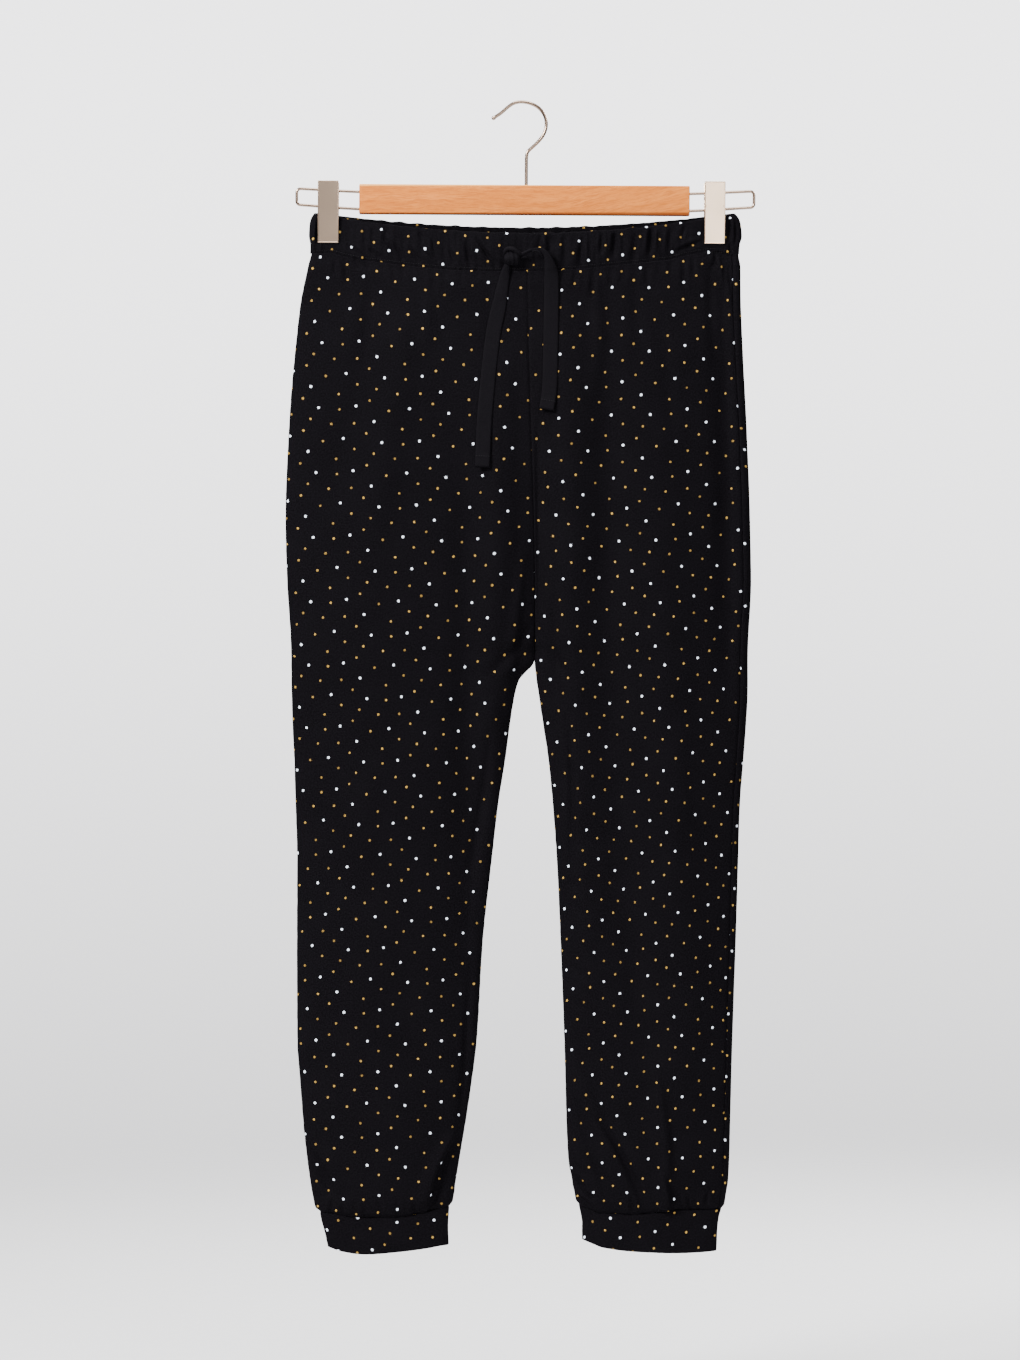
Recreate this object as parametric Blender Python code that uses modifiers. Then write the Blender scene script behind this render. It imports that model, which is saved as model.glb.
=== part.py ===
"""Knit pyjama bottoms with a drawstring, hanging from a wooden hanger with two sliding clips.

Sizes are millimetres. X runs to the viewer's right, which is the wearer's left, the front faces -Y and
Z is up. The origin is the underside of the hook's crown, where a rail carries the hanger. A drop is the
distance below that point. Right and left in the names are the wearer's own.
"""
import math
from typing import Callable, NamedTuple, Optional, Sequence

import bmesh
import bpy
from mathutils import Vector

MM = 0.001
SEAM_GAP = 0.3
HALF_GAP = SEAM_GAP / 2

# Cloth
CLOTH_WALL = 1.3
BAND_WALL = 3.0
CUFF_WALL = 2.0
TAPE_WIDTH = 15.0
TAPE_THICKNESS = 1.5
EDGE_ROUNDING = 2.3
PANEL_COLUMNS = 12
BAND_COLUMNS = 72
CUFF_COLUMNS = 16

# Waistband
BAND_MIDDLE_X = 1.5
BAND_HALF_SPAN = 178.5
FRONT_TOP_DROP = 127.2
FRONT_TOP_SAG = 15.6
BACK_TOP_DROP = 119.9
BACK_TOP_SAG = 10.2
STITCH_DROP = 161.9
STITCH_SAG = 9.75
STITCH_LEAN = 1.9
BACK_STITCH_RISE = 4.0
FRONT_BOW = 10.5
BACK_BOW = 8.5
GATHER_HEIGHT = 1.1
BAND_FULLNESS = 0.8
BAND_ROWS = (0.0, 0.25, 0.6, 1.0)
SIDE_ROUNDING = 4.5
SIDE_TURNS = (0.0, 35.0, 65.0, 90.0)
INSIDE_EASE = 0.55

# Seams and hems of the legs
CROTCH_DROP = 537.7
TOP_FADE = 95.0
SEAM_FADE = 45.0
FOLD_EDGE_FADE = 6.0
BACK_HEM_LIFT = 2.5

# Hanger
HANGER_TILT = math.radians(0.35)
BAR_LENGTH = 322.0
BAR_HEIGHT = 28.7
BAR_THICKNESS = 12.0
BAR_CENTRE_X = 0.5
BAR_CENTRE_Z = -94.3
BAR_EDGE = 1.2
HOOK_WIRE = 2.9
HOOK_RADIUS = 21.0
HOOK_STEM_X = 2.2
STEM_DEPTH = 18.0
RAIL_WIRE = 2.6
RAIL_CORNER = 5.0
RAIL_LEVEL_RUN = 1.0
RAIL_INSERT = 20.0
RAIL_RIGHT_END_X = -221.5
RAIL_LEFT_END_X = 224.4

# Clips
CLIP_RIGHT_X = -190.6
CLIP_LEFT_X = 186.0
CLIP_WIDTH = 20.3
CLIP_HEIGHT = 61.0
CLIP_TOP_Z = -75.6
PLATE_THICKNESS = 1.2
PLATE_TOP_Y = 8.6
PLATE_EDGE = 0.3
LUG_THICKNESS = 1.0
LUG_REACH = 3.0
OUTER_LUG_X = 8.6
INNER_LUG_X = 7.2
PIN_RADIUS = 1.25
PIN_LENGTH = 19.6
SPRING_RADIUS = 2.9
SPRING_LENGTH = 12.6


class Rail(NamedTuple):
    """Height of one run of a rail's loop where it leaves the bar and where it turns."""
    bar_z: float
    turn_z: float


RAIL_TOP = Rail(-87.3, -84.4)
RAIL_BOTTOM = Rail(-104.1, -100.2)


class Outline(NamedTuple):
    """Width of both legs at one drop, seen from the front."""
    drop: float
    right_outer: float
    right_inner: float
    left_inner: float
    left_outer: float


class Depth(NamedTuple):
    """How far front and back stand from the side seams' plane, mid leg and at the rise seam."""
    drop: float
    front: float
    front_rise: float
    back: float
    back_rise: float


class Fold(NamedTuple):
    """One soft fold: a line from a top to a bottom point, raised where height is above zero."""
    face: str
    top_x: float
    top_drop: float
    end_x: float
    end_drop: float
    width: float
    height: float


class Side(NamedTuple):
    """Edge of the waistband at one part of its height, from top (0) to bottom (1)."""
    part: float
    right_x: float
    left_x: float


class Cuff(NamedTuple):
    """Cuff outline at one part of its height, from seam (0) to hem (1)."""
    part: float
    right_outer: float
    right_inner: float
    left_inner: float
    left_outer: float
    depth: float


class Edge(NamedTuple):
    """Drop of a leg's cuff seam and of its front hem at one place across the cuff, outer (0) to inner (1)."""
    part: float
    right_seam: float
    right_hem: float
    left_seam: float
    left_hem: float


class Stop(NamedTuple):
    """A place that a tape end runs through."""
    x: float
    drop: float
    width: float


OUTLINES = (
    Outline(150.0, -208.5, 3.0, 3.0, 207.5),
    Outline(165.0, -211.5, 3.0, 3.0, 208.2),
    Outline(192.0, -217.0, 3.5, 3.5, 209.5),
    Outline(231.0, -222.0, 4.0, 4.0, 211.2),
    Outline(309.0, -228.6, 6.0, 6.0, 215.2),
    Outline(406.0, -232.4, 9.0, 9.0, 218.8),
    Outline(465.0, -230.8, 9.8, 9.8, 219.8),
    Outline(523.0, -227.2, 10.0, 10.0, 217.0),
    Outline(CROTCH_DROP, -226.8, 10.0, 10.0, 216.6),
    Outline(546.0, -226.7, 8.0, 10.6, 216.5),
    Outline(554.0, -226.6, 0.5, 11.4, 216.5),
    Outline(562.0, -226.6, -6.0, 12.4, 216.5),
    Outline(578.0, -226.2, -10.4, 14.8, 216.2),
    Outline(601.0, -225.6, -14.2, 18.2, 215.0),
    Outline(640.0, -223.8, -20.2, 24.0, 212.2),
    Outline(680.0, -222.6, -26.7, 28.0, 209.1),
    Outline(738.0, -221.0, -33.4, 32.2, 207.1),
    Outline(816.0, -221.2, -42.2, 35.8, 204.8),
    Outline(913.0, -220.8, -48.4, 39.5, 201.5),
    Outline(952.0, -218.0, -53.2, 40.6, 200.4),
    Outline(991.0, -215.0, -59.0, 41.6, 199.4),
    Outline(1030.0, -211.0, -65.7, 43.6, 198.4),
    Outline(1050.0, -208.2, -68.7, 47.0, 197.4),
    Outline(1066.0, -205.4, -70.6, 49.2, 195.2),
    Outline(1075.0, -203.4, -71.8, 50.4, 193.9),
    Outline(1080.0, -200.0, -73.2, 52.6, 192.4),
)

DEPTHS = (
    Depth(150.0, 10.0, 13.0, 9.0, 11.0),
    Depth(192.0, 13.0, 13.0, 12.5, 12.0),
    Depth(231.0, 15.5, 14.5, 15.0, 14.0),
    Depth(309.0, 17.5, 15.0, 19.0, 16.0),
    Depth(406.0, 18.5, 12.5, 20.5, 14.5),
    Depth(465.0, 19.5, 9.0, 20.5, 11.0),
    Depth(523.0, 20.0, 4.0, 19.5, 5.0),
    Depth(CROTCH_DROP, 20.0, 0.0, 19.0, 0.0),
    Depth(601.0, 19.5, 0.0, 18.5, 0.0),
    Depth(738.0, 18.0, 0.0, 17.5, 0.0),
    Depth(913.0, 20.0, 0.0, 18.5, 0.0),
    Depth(1030.0, 21.0, 0.0, 20.0, 0.0),
    Depth(1066.0, 18.5, 0.0, 17.5, 0.0),
    Depth(1080.0, 13.2, 0.0, 13.0, 0.0),
)

ROW_DROPS = (150.0, 161.0, 176.0, 200.0, 231.0, 270.0, 309.0, 357.0, 406.0, 436.0, 465.0, 495.0, 523.0,
             531.0, CROTCH_DROP, 546.0, 554.0, 562.0, 578.0, 601.0, 640.0, 689.0, 738.0, 790.0, 840.0,
             878.0, 913.0, 945.0, 972.0, 996.0, 1016.0, 1034.0, 1050.0, 1066.0, 1075.0, 1080.0)

FOLDS = (
    Fold("front", 22.0, 330.0, 20.0, 560.0, 12.0, 2.4),
    Fold("front", -10.0, 420.0, -18.0, 620.0, 13.0, -1.6),
    Fold("front", 176.0, 165.0, 181.0, 300.0, 9.0, -2.2),
    Fold("front", 150.0, 170.0, 160.0, 330.0, 11.0, 1.4),
    Fold("front", 70.0, 170.0, 76.0, 400.0, 13.0, 1.3),
    Fold("front", -120.0, 170.0, -130.0, 420.0, 15.0, 1.2),
    Fold("front", -34.0, 600.0, -60.0, 790.0, 9.0, -1.8),
    Fold("front", 48.0, 620.0, 58.0, 860.0, 9.0, -1.5),
    Fold("front", -70.0, 985.0, -96.0, 1085.0, 9.0, -2.6),
    Fold("front", -203.0, 1000.0, -178.0, 1080.0, 9.0, -2.0),
    Fold("front", 76.0, 1010.0, 114.0, 1082.0, 9.0, -2.4),
    Fold("front", 126.0, 920.0, 138.0, 1082.0, 10.0, 2.2),
    Fold("back", 20.0, 360.0, 22.0, 560.0, 14.0, 2.0),
    Fold("back", -8.0, 400.0, -20.0, 640.0, 14.0, -1.6),
    Fold("back", -165.0, 165.0, -175.0, 320.0, 11.0, -2.0),
    Fold("back", -60.0, 170.0, -75.0, 420.0, 15.0, 1.4),
    Fold("back", 100.0, 170.0, 112.0, 430.0, 15.0, 1.4),
    Fold("back", -150.0, 560.0, -130.0, 900.0, 15.0, -1.4),
    Fold("back", 130.0, 600.0, 118.0, 940.0, 15.0, -1.5),
    Fold("back", -180.0, 1000.0, -150.0, 1082.0, 10.0, -2.4),
    Fold("back", -100.0, 960.0, -112.0, 1082.0, 11.0, 2.0),
    Fold("back", 165.0, 990.0, 140.0, 1082.0, 10.0, -2.4),
    Fold("back", 84.0, 1000.0, 96.0, 1082.0, 10.0, 1.8),
)

BAND_SIDES = (
    Side(0.00, -201.0, 199.5),
    Side(0.28, -207.4, 206.8),
    Side(0.62, -209.2, 211.0),
    Side(1.00, -208.3, 207.3),
)

CUFFS = (
    Cuff(0.00, -199.6, -73.4, 52.9, 192.0, 12.8),
    Cuff(0.20, -198.4, -74.0, 54.4, 189.6, 13.8),
    Cuff(0.60, -194.8, -74.3, 56.2, 188.0, 14.2),
    Cuff(1.00, -191.6, -73.8, 56.2, 187.0, 13.0),
)

EDGES = (
    Edge(0.00, 1080.0, 1113.0, 1077.0, 1116.0),
    Edge(0.30, 1085.0, 1120.6, 1077.5, 1118.0),
    Edge(0.60, 1084.5, 1118.0, 1082.0, 1117.0),
    Edge(0.85, 1079.0, 1114.5, 1081.0, 1111.5),
    Edge(1.00, 1074.0, 1112.5, 1072.5, 1107.5),
)

KNOT_CENTRE_X = -11.2
KNOT_CENTRE_DROP = 150.0
KNOT_WIDTH = 16.0
KNOT_DEPTH = 9.0
KNOT_HEIGHT = 18.6

RIGHT_END_ROUTE = (
    Stop(-16.4, 160.6, 10.0),
    Stop(-18.8, 171.0, 10.6),
    Stop(-24.0, 195.0, 14.0),
    Stop(-30.0, 224.0, TAPE_WIDTH),
    Stop(-36.0, 276.0, TAPE_WIDTH),
    Stop(-39.4, 320.0, TAPE_WIDTH),
    Stop(-40.4, 355.5, TAPE_WIDTH),
)
LEFT_END_ROUTE = (
    Stop(-2.6, 149.0, 9.0),
    Stop(6.0, 147.2, 12.5),
    Stop(14.6, 147.6, 14.0),
    Stop(21.4, 151.4, TAPE_WIDTH),
    Stop(24.8, 159.0, TAPE_WIDTH),
    Stop(25.4, 176.0, TAPE_WIDTH),
    Stop(25.0, 230.0, TAPE_WIDTH),
    Stop(24.0, 282.0, TAPE_WIDTH),
    Stop(21.6, 299.6, TAPE_WIDTH),
)
TAPE_STEP = 9.0
TAPE_CLEARANCE = 0.7

Colour = tuple[float, float, float]
CLOTH_COLOUR: Colour = (0.012, 0.011, 0.016)
TAPE_COLOUR: Colour = (0.020, 0.020, 0.023)
WOOD_COLOUR: Colour = (0.66, 0.38, 0.19)
WIRE_COLOUR: Colour = (0.62, 0.60, 0.57)
PLATE_COLOUR: Colour = (0.60, 0.58, 0.55)


def smoothstep(low: float, high: float, value: float) -> float:
    """Ease from 0 at low to 1 at high."""
    part = min(1.0, max(0.0, (value - low) / (high - low)))
    return part * part * (3.0 - 2.0 * part)


def read_table(keys: Sequence[float], values: Sequence[float], key: float) -> float:
    """Read a table as a smooth curve that never overshoots its own rows."""
    if key <= keys[0]:
        return values[0]
    if key >= keys[-1]:
        return values[-1]
    low = max(index for index in range(len(keys) - 1) if keys[index] <= key)
    slopes = [(values[i + 1] - values[i]) / (keys[i + 1] - keys[i]) for i in range(len(keys) - 1)]

    def tangent(index: int) -> float:
        if index == 0 or index == len(keys) - 1:
            return slopes[0] if index == 0 else slopes[-1]
        before, after = slopes[index - 1], slopes[index]
        if before * after <= 0.0:
            return 0.0
        return 2.0 * before * after / (before + after)

    span = keys[low + 1] - keys[low]
    part = (key - keys[low]) / span
    square, cube = part * part, part ** 3
    return ((2 * cube - 3 * square + 1) * values[low] + (cube - 2 * square + part) * span * tangent(low)
            + (3 * square - 2 * cube) * values[low + 1] + (cube - square) * span * tangent(low + 1))


def column(table: Sequence[NamedTuple], name: str, key: float) -> float:
    """Read one named column of a table at a key, the table's first column."""
    return read_table([row[0] for row in table], [getattr(row, name) for row in table], key)


def rounded(part: float) -> float:
    """Rise of a soft folded edge: upright at the fold (0), level at 1."""
    near = 1.0 - min(1.0, max(0.0, part))
    return (1.0 - near ** EDGE_ROUNDING) ** (1.0 / EDGE_ROUNDING)


def band_span(x: float) -> float:
    """Place between the clips, from -1 to 1."""
    return (x - BAND_MIDDLE_X) / BAND_HALF_SPAN


def band_top(x: float, face: str) -> float:
    """Drop of the waistband's upper edge, which sags between the clips."""
    if face == "front":
        return FRONT_TOP_DROP - FRONT_TOP_SAG * band_span(x) ** 2
    return BACK_TOP_DROP - BACK_TOP_SAG * band_span(x) ** 2


def band_bottom(x: float, face: str) -> float:
    """Drop of the waistband's stitched lower edge."""
    span = band_span(x)
    front = STITCH_DROP - STITCH_SAG * span * span - STITCH_LEAN * span
    return front if face == "front" else front - BACK_STITCH_RISE * max(0.0, 1.0 - span * span)


def band_bow(x: float, face: str) -> float:
    """How far the waistband stands out between the clips, which press front and back together."""
    free = max(0.0, 1.0 - band_span(x) ** 2)
    return (FRONT_BOW if face == "front" else BACK_BOW) * free ** 1.3


def gathers(x: float, face: str) -> float:
    """Uneven soft gathers that the elastic draws along the waistband."""
    shift = 0.0 if face == "front" else 2.1
    wave = 0.62 * math.sin(x / 2.9 + 1.4 * math.sin(x / 27.0 + shift) + shift)
    wave += 0.38 * math.sin(x / 5.3 + 2.0 * shift + 0.8)
    return GATHER_HEIGHT * wave * smoothstep(1.0, 0.86, abs(band_span(x)))


def fold_height(x: float, drop: float, face: str) -> float:
    """Sum of the soft folds of one face at a point."""
    total = 0.0
    for fold in FOLDS:
        if fold.face != face:
            continue
        part = (drop - fold.top_drop) / (fold.end_drop - fold.top_drop)
        if not 0.0 < part < 1.0:
            continue
        line_x = fold.top_x + part * (fold.end_x - fold.top_x)
        across = math.exp(-((x - line_x) / fold.width) ** 2)
        total += fold.height * across * math.sin(math.pi * part) ** 0.8
    return total


class Leg:
    """One leg's front or back: a smooth surface from the side seam (0) to the inner seam or rise (1)."""

    def __init__(self, side: str, face: str) -> None:
        self.side = side
        self.face = face
        self.inward = 1.0 if side == "right" else -1.0
        self.outward = -1.0 if face == "front" else 1.0

    def width(self, drop: float) -> tuple[float, float]:
        """X of the side seam and of the inner seam, clear of the leg beyond it."""
        outer = column(OUTLINES, f"{self.side}_outer", drop)
        inner = column(OUTLINES, f"{self.side}_inner", drop)
        return outer, inner - self.inward * HALF_GAP

    def drop_at(self, part: float, x: float, row_drop: float) -> float:
        """Drop of a row, bent to the waistband at the top and to the cuff seam at the bottom."""
        top, bottom = ROW_DROPS[0], ROW_DROPS[-1]
        near_top = 1.0 - smoothstep(top, top + TOP_FADE, row_drop)
        near_seam = smoothstep(bottom - SEAM_FADE, bottom, row_drop)
        seam = column(EDGES, f"{self.side}_seam", part)
        return (row_drop + near_top * (band_bottom(x, self.face) + SEAM_GAP - top)
                + near_seam * (seam - bottom))

    def depth(self, part: float, x: float, row_drop: float) -> float:
        """Distance from the side seams' plane."""
        middle = column(DEPTHS, self.face, row_drop)
        rise = column(DEPTHS, f"{self.face}_rise", row_drop)
        body = rounded(part) * (rise + (middle - rise) * rounded(1.0 - part))
        edge = min(1.0, abs(x - self.width(row_drop)[0]) / SIDE_ROUNDING)
        held = rounded(edge) * (BAND_WALL + band_bow(x, self.face))
        free = smoothstep(ROW_DROPS[0], ROW_DROPS[0] + TOP_FADE, row_drop)
        clear_of_seams = min(1.0, FOLD_EDGE_FADE * part) * min(1.0, FOLD_EDGE_FADE * (1.0 - part))
        fold = fold_height(x, row_drop, self.face) * clear_of_seams
        return HALF_GAP + held + free * (body - held) + fold

    def outer(self, part: float, row_drop: float) -> Vector:
        """Point of the outer surface."""
        start, end = self.width(row_drop)
        x = start + part * (end - start)
        return Vector((x, self.outward * self.depth(part, x, row_drop), -self.drop_at(part, x, row_drop)))

    def inner(self, part: float, row_drop: float) -> Vector:
        """Point of the inner surface: a wall's thickness in, and on its own side of each seam."""
        point = self.outer(part, row_drop)
        if part <= 0.0:
            return point + Vector((self.inward * CLOTH_WALL, 0.0, 0.0))
        if part >= 1.0:
            rise = column(DEPTHS, f"{self.face}_rise", row_drop)
            back = min(CLOTH_WALL, rise)
            aside = math.sqrt(CLOTH_WALL ** 2 - back ** 2)
            return point + Vector((-self.inward * aside, -self.outward * back, 0.0))
        step = min(0.004, part / 2, (1.0 - part) / 2)
        across = self.outer(part + step, row_drop) - self.outer(part - step, row_drop)
        lower = min(ROW_DROPS[-1], row_drop + 1.0)
        upper = max(ROW_DROPS[0], row_drop - 1.0)
        along = self.outer(part, lower) - self.outer(part, upper)
        normal = across.cross(along).normalized()
        if normal.y * self.outward > 0.0:
            normal.negate()
        return point + normal * CLOTH_WALL


def front_surface(x: float, drop: float) -> float:
    """Y of the garment's front at a place, on the waistband or on a leg's front panel."""
    if drop < band_bottom(x, "front"):
        return band_outer_y(x, "front", 0.5)
    leg = Leg("right", "front") if x < column(OUTLINES, "right_inner", drop) else Leg("left", "front")
    start, end = leg.width(drop)
    part = min(1.0, max(0.0, (x - start) / (end - start)))
    return -leg.depth(part, x, drop)


def band_outer_y(x: float, face: str, part: float) -> float:
    """Y of the waistband's outer surface, fullest half way down."""
    outward = -1.0 if face == "front" else 1.0
    fullness = math.sin(math.pi * min(1.0, max(0.0, part)))
    wave = gathers(x, face) * (0.35 + 0.65 * fullness)
    free = smoothstep(1.0, 0.9, abs(band_span(x)))
    return outward * (HALF_GAP + BAND_WALL + band_bow(x, face) + wave + BAND_FULLNESS * fullness * free)


def collection(name: str) -> bpy.types.Collection:
    """Make a collection in the scene."""
    made = bpy.data.collections.new(name)
    bpy.context.scene.collection.children.link(made)
    return made


def material(name: str, colour: Colour, roughness: float, metallic: float = 0.0) -> bpy.types.Material:
    """Make a Principled material."""
    made = bpy.data.materials.new(name)
    made.use_nodes = True
    shader = made.node_tree.nodes["Principled BSDF"]
    shader.inputs["Base Color"].default_value = (*colour, 1.0)
    shader.inputs["Roughness"].default_value = roughness
    shader.inputs["Metallic"].default_value = metallic
    return made


def add_mesh(name: str, mesh: bmesh.types.BMesh, finish: bpy.types.Material,
             target: bpy.types.Collection, parent: Optional[bpy.types.Object] = None) -> bpy.types.Object:
    """Turn a bmesh in millimetres into an object in metres."""
    bmesh.ops.scale(mesh, vec=(MM, MM, MM), verts=mesh.verts)
    bmesh.ops.recalc_face_normals(mesh, faces=mesh.faces)
    data = bpy.data.meshes.new(name)
    mesh.to_mesh(data)
    mesh.free()
    data.materials.append(finish)
    made = bpy.data.objects.new(name, data)
    target.objects.link(made)
    made.parent = parent
    return made


def wall(outer: Sequence[Sequence[Vector]], inner: Sequence[Sequence[Vector]],
         ring: bool = False) -> bmesh.types.BMesh:
    """Close two like grids of points into one wall. A ring joins its last column to its first."""
    mesh = bmesh.new()
    skins = [[[mesh.verts.new(point) for point in row] for row in grid] for grid in (outer, inner)]
    rows, columns = len(outer), len(outer[0])
    steps = [(j, (j + 1) % columns) for j in range(columns if ring else columns - 1)]
    for i in range(rows - 1):
        for j, k in steps:
            for skin in skins:
                mesh.faces.new((skin[i][j], skin[i][k], skin[i + 1][k], skin[i + 1][j]))
    for i in (0, rows - 1):
        for j, k in steps:
            mesh.faces.new((skins[0][i][j], skins[0][i][k], skins[1][i][k], skins[1][i][j]))
    if not ring:
        for j in (0, columns - 1):
            for i in range(rows - 1):
                mesh.faces.new((skins[0][i][j], skins[0][i + 1][j], skins[1][i + 1][j], skins[1][i][j]))
    return mesh


def leg_panel(side: str, face: str) -> bmesh.types.BMesh:
    """One cut piece of a leg, from the waistband to the cuff."""
    leg = Leg(side, face)
    parts = [(1.0 - math.cos(math.pi * j / PANEL_COLUMNS)) / 2 for j in range(PANEL_COLUMNS + 1)]
    outer = [[leg.outer(part, drop) for part in parts] for drop in ROW_DROPS]
    inner = [[leg.inner(part, drop) for part in parts] for drop in ROW_DROPS]
    return wall(outer, inner)


def waistband(face: str) -> bmesh.types.BMesh:
    """Front or back of the elasticated casing, closed to the other at the sides."""
    outward = -1.0 if face == "front" else 1.0
    turns = [SIDE_ROUNDING * (1.0 - math.cos(math.radians(angle))) for angle in SIDE_TURNS]
    rises = [math.sin(math.radians(angle)) for angle in SIDE_TURNS]
    last_turn = len(turns) - 1
    outer, inner = [], []
    for part in BAND_ROWS:
        right, left = column(BAND_SIDES, "right_x", part), column(BAND_SIDES, "left_x", part)
        inside = [right + turn for turn in turns]
        step = (left - right - 2 * SIDE_ROUNDING) / BAND_COLUMNS
        places = inside + [inside[-1] + step * j for j in range(1, BAND_COLUMNS)]
        places += [left - turn for turn in reversed(turns)]
        outer_row, inner_row = [], []
        for index, x in enumerate(places):
            edge = min(index, len(places) - 1 - index, last_turn)
            drop = (1.0 - part) * band_top(x, face) + part * band_bottom(x, face)
            full = abs(band_outer_y(x, face, part)) - HALF_GAP
            outer_row.append(Vector((x, outward * (HALF_GAP + full * rises[edge]), -drop)))
            aside = BAND_WALL - turns[edge] * INSIDE_EASE if edge < last_turn else 0.0
            inner_x = x + aside * (1.0 if index < len(places) / 2 else -1.0)
            inner_y = outward * (HALF_GAP + max(0.0, full - BAND_WALL) * rises[edge])
            inner_row.append(Vector((inner_x, inner_y, -drop)))
        outer.append(outer_row)
        inner.append(inner_row)
    return wall(outer, inner)


def cuff(side: str) -> bmesh.types.BMesh:
    """One cuff: a doubled band of the same knit, sewn into a ring."""
    inward = 1.0 if side == "right" else -1.0
    parts = [(1.0 - math.cos(math.pi * j / CUFF_COLUMNS)) / 2 for j in range(CUFF_COLUMNS + 1)]
    around = [(part, -1.0) for part in parts] + [(part, 1.0) for part in reversed(parts[1:-1])]
    outer, inner = [], []
    for height in (row.part for row in CUFFS):
        start, end = column(CUFFS, f"{side}_outer", height), column(CUFFS, f"{side}_inner", height)
        depth = column(CUFFS, "depth", height)
        outer_row, inner_row = [], []
        for part, face in around:
            seam = column(EDGES, f"{side}_seam", part) + SEAM_GAP
            lift = BACK_HEM_LIFT * math.sin(math.pi * part) if face > 0.0 else 0.0
            hem = column(EDGES, f"{side}_hem", part) - lift
            drop = seam + height * (hem - seam)
            for row, in_by in ((outer_row, 0.0), (inner_row, CUFF_WALL)):
                first, last = start + inward * in_by, end - inward * in_by
                reach = (depth - in_by) * rounded(part) * rounded(1.0 - part)
                row.append(Vector((first + part * (last - first), face * reach, -drop)))
        outer.append(outer_row)
        inner.append(inner_row)
    return wall(outer, inner, ring=True)


def route_points(route: Sequence[Stop]) -> list[Stop]:
    """Even points along a smooth curve through a tape's stops."""
    length = [0.0]
    for before, after in zip(route, route[1:]):
        length.append(length[-1] + math.hypot(after.x - before.x, after.drop - before.drop))
    count = round(length[-1] / TAPE_STEP)
    points = []
    for index in range(count + 1):
        key = length[-1] * index / count
        points.append(Stop(*(read_table(length, [getattr(stop, name) for stop in route], key)
                             for name in Stop._fields)))
    return points


def tape_end(route: Sequence[Stop]) -> bmesh.types.BMesh:
    """A free end of the drawstring tape, lying just off the garment's front."""
    points = route_points(route)
    outer, inner = [], []
    for index, stop in enumerate(points):
        before, after = points[max(0, index - 1)], points[min(len(points) - 1, index + 1)]
        run = Vector((after.x - before.x, after.drop - before.drop)).normalized()
        edges = [Vector((stop.x, stop.drop)) + Vector((run.y, -run.x)) * stop.width / 2 * part
                 for part in (-1.0, 0.0, 1.0)]
        near = min(front_surface(edge.x, edge.y) for edge in edges) - TAPE_CLEARANCE
        inner.append([Vector((edge.x, near, -edge.y)) for edge in edges])
        outer.append([Vector((edge.x, near - TAPE_THICKNESS, -edge.y)) for edge in edges])
    return wall(outer, inner)


def knot() -> bmesh.types.BMesh:
    """The half knot of the drawstring, resting on the waistband."""
    mesh = bmesh.new()
    bmesh.ops.create_uvsphere(mesh, u_segments=14, v_segments=9, radius=0.5)
    near = min(front_surface(KNOT_CENTRE_X + shift, KNOT_CENTRE_DROP)
               for shift in (-KNOT_WIDTH / 2, -KNOT_WIDTH / 4, 0.0, KNOT_WIDTH / 4, KNOT_WIDTH / 2))
    bmesh.ops.scale(mesh, vec=(KNOT_WIDTH, KNOT_DEPTH, KNOT_HEIGHT), verts=mesh.verts)
    centre = Vector((KNOT_CENTRE_X, near - SEAM_GAP - KNOT_DEPTH / 2, -KNOT_CENTRE_DROP))
    bmesh.ops.translate(mesh, vec=centre, verts=mesh.verts)
    return mesh


def wire(name: str, points: Sequence[tuple[float, float]], thickness: float, finish: bpy.types.Material,
         target: bpy.types.Collection, parent: bpy.types.Object) -> bpy.types.Object:
    """A round wire through points (x, z) in the hanger's plane."""
    data = bpy.data.curves.new(name, "CURVE")
    data.dimensions = "3D"
    data.bevel_depth = thickness / 2 * MM
    data.bevel_resolution = 2
    data.use_fill_caps = True
    spline = data.splines.new("POLY")
    spline.points.add(len(points) - 1)
    for place, (x, z) in zip(spline.points, points):
        place.co = (x * MM, 0.0, z * MM, 1.0)
    data.materials.append(finish)
    made = bpy.data.objects.new(name, data)
    target.objects.link(made)
    made.parent = parent
    return made


def arc(centre: tuple[float, float], radius: float, start: float, end: float,
        count: int) -> list[tuple[float, float]]:
    """Points along an arc, angles in degrees."""
    angles = [math.radians(start + (end - start) * index / count) for index in range(count + 1)]
    return [(centre[0] + radius * math.cos(angle), centre[1] + radius * math.sin(angle)) for angle in angles]


def hook_route() -> list[tuple[float, float]]:
    """Stem out of the bar, swan neck, round crown and a flared tip."""
    bar_top = BAR_CENTRE_Z + BAR_HEIGHT / 2
    crown = (0.0, -HOOK_RADIUS + HOOK_WIRE / 2)
    stem = [(HOOK_STEM_X, bar_top - STEM_DEPTH), (HOOK_STEM_X, -50.5)]
    neck = [(HOOK_STEM_X + 0.3, -48.4), (HOOK_STEM_X + 1.3, -46.2), (HOOK_STEM_X + 3.0, -44.1)]
    tip = [(-19.6, -7.9), (-22.4, -9.8), (-25.6, -11.7), (-28.6, -13.4)]
    return stem + neck + arc(crown, HOOK_RADIUS, -38.0, 142.0, 18) + tip


def rail_span(outward: float) -> tuple[float, float]:
    """X where a rail starts to rise, just out of the bar, and where it turns."""
    end_x = RAIL_LEFT_END_X if outward > 0.0 else RAIL_RIGHT_END_X
    start = BAR_CENTRE_X + outward * (BAR_LENGTH / 2 + RAIL_LEVEL_RUN)
    return start, end_x - outward * RAIL_CORNER


def rail_z(run: Rail, x: float) -> float:
    """Height of a rail's run, which rises from the bar to its turn."""
    start, turn = rail_span(math.copysign(1.0, x))
    return run.bar_z + (run.turn_z - run.bar_z) * (x - start) / (turn - start)


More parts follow.
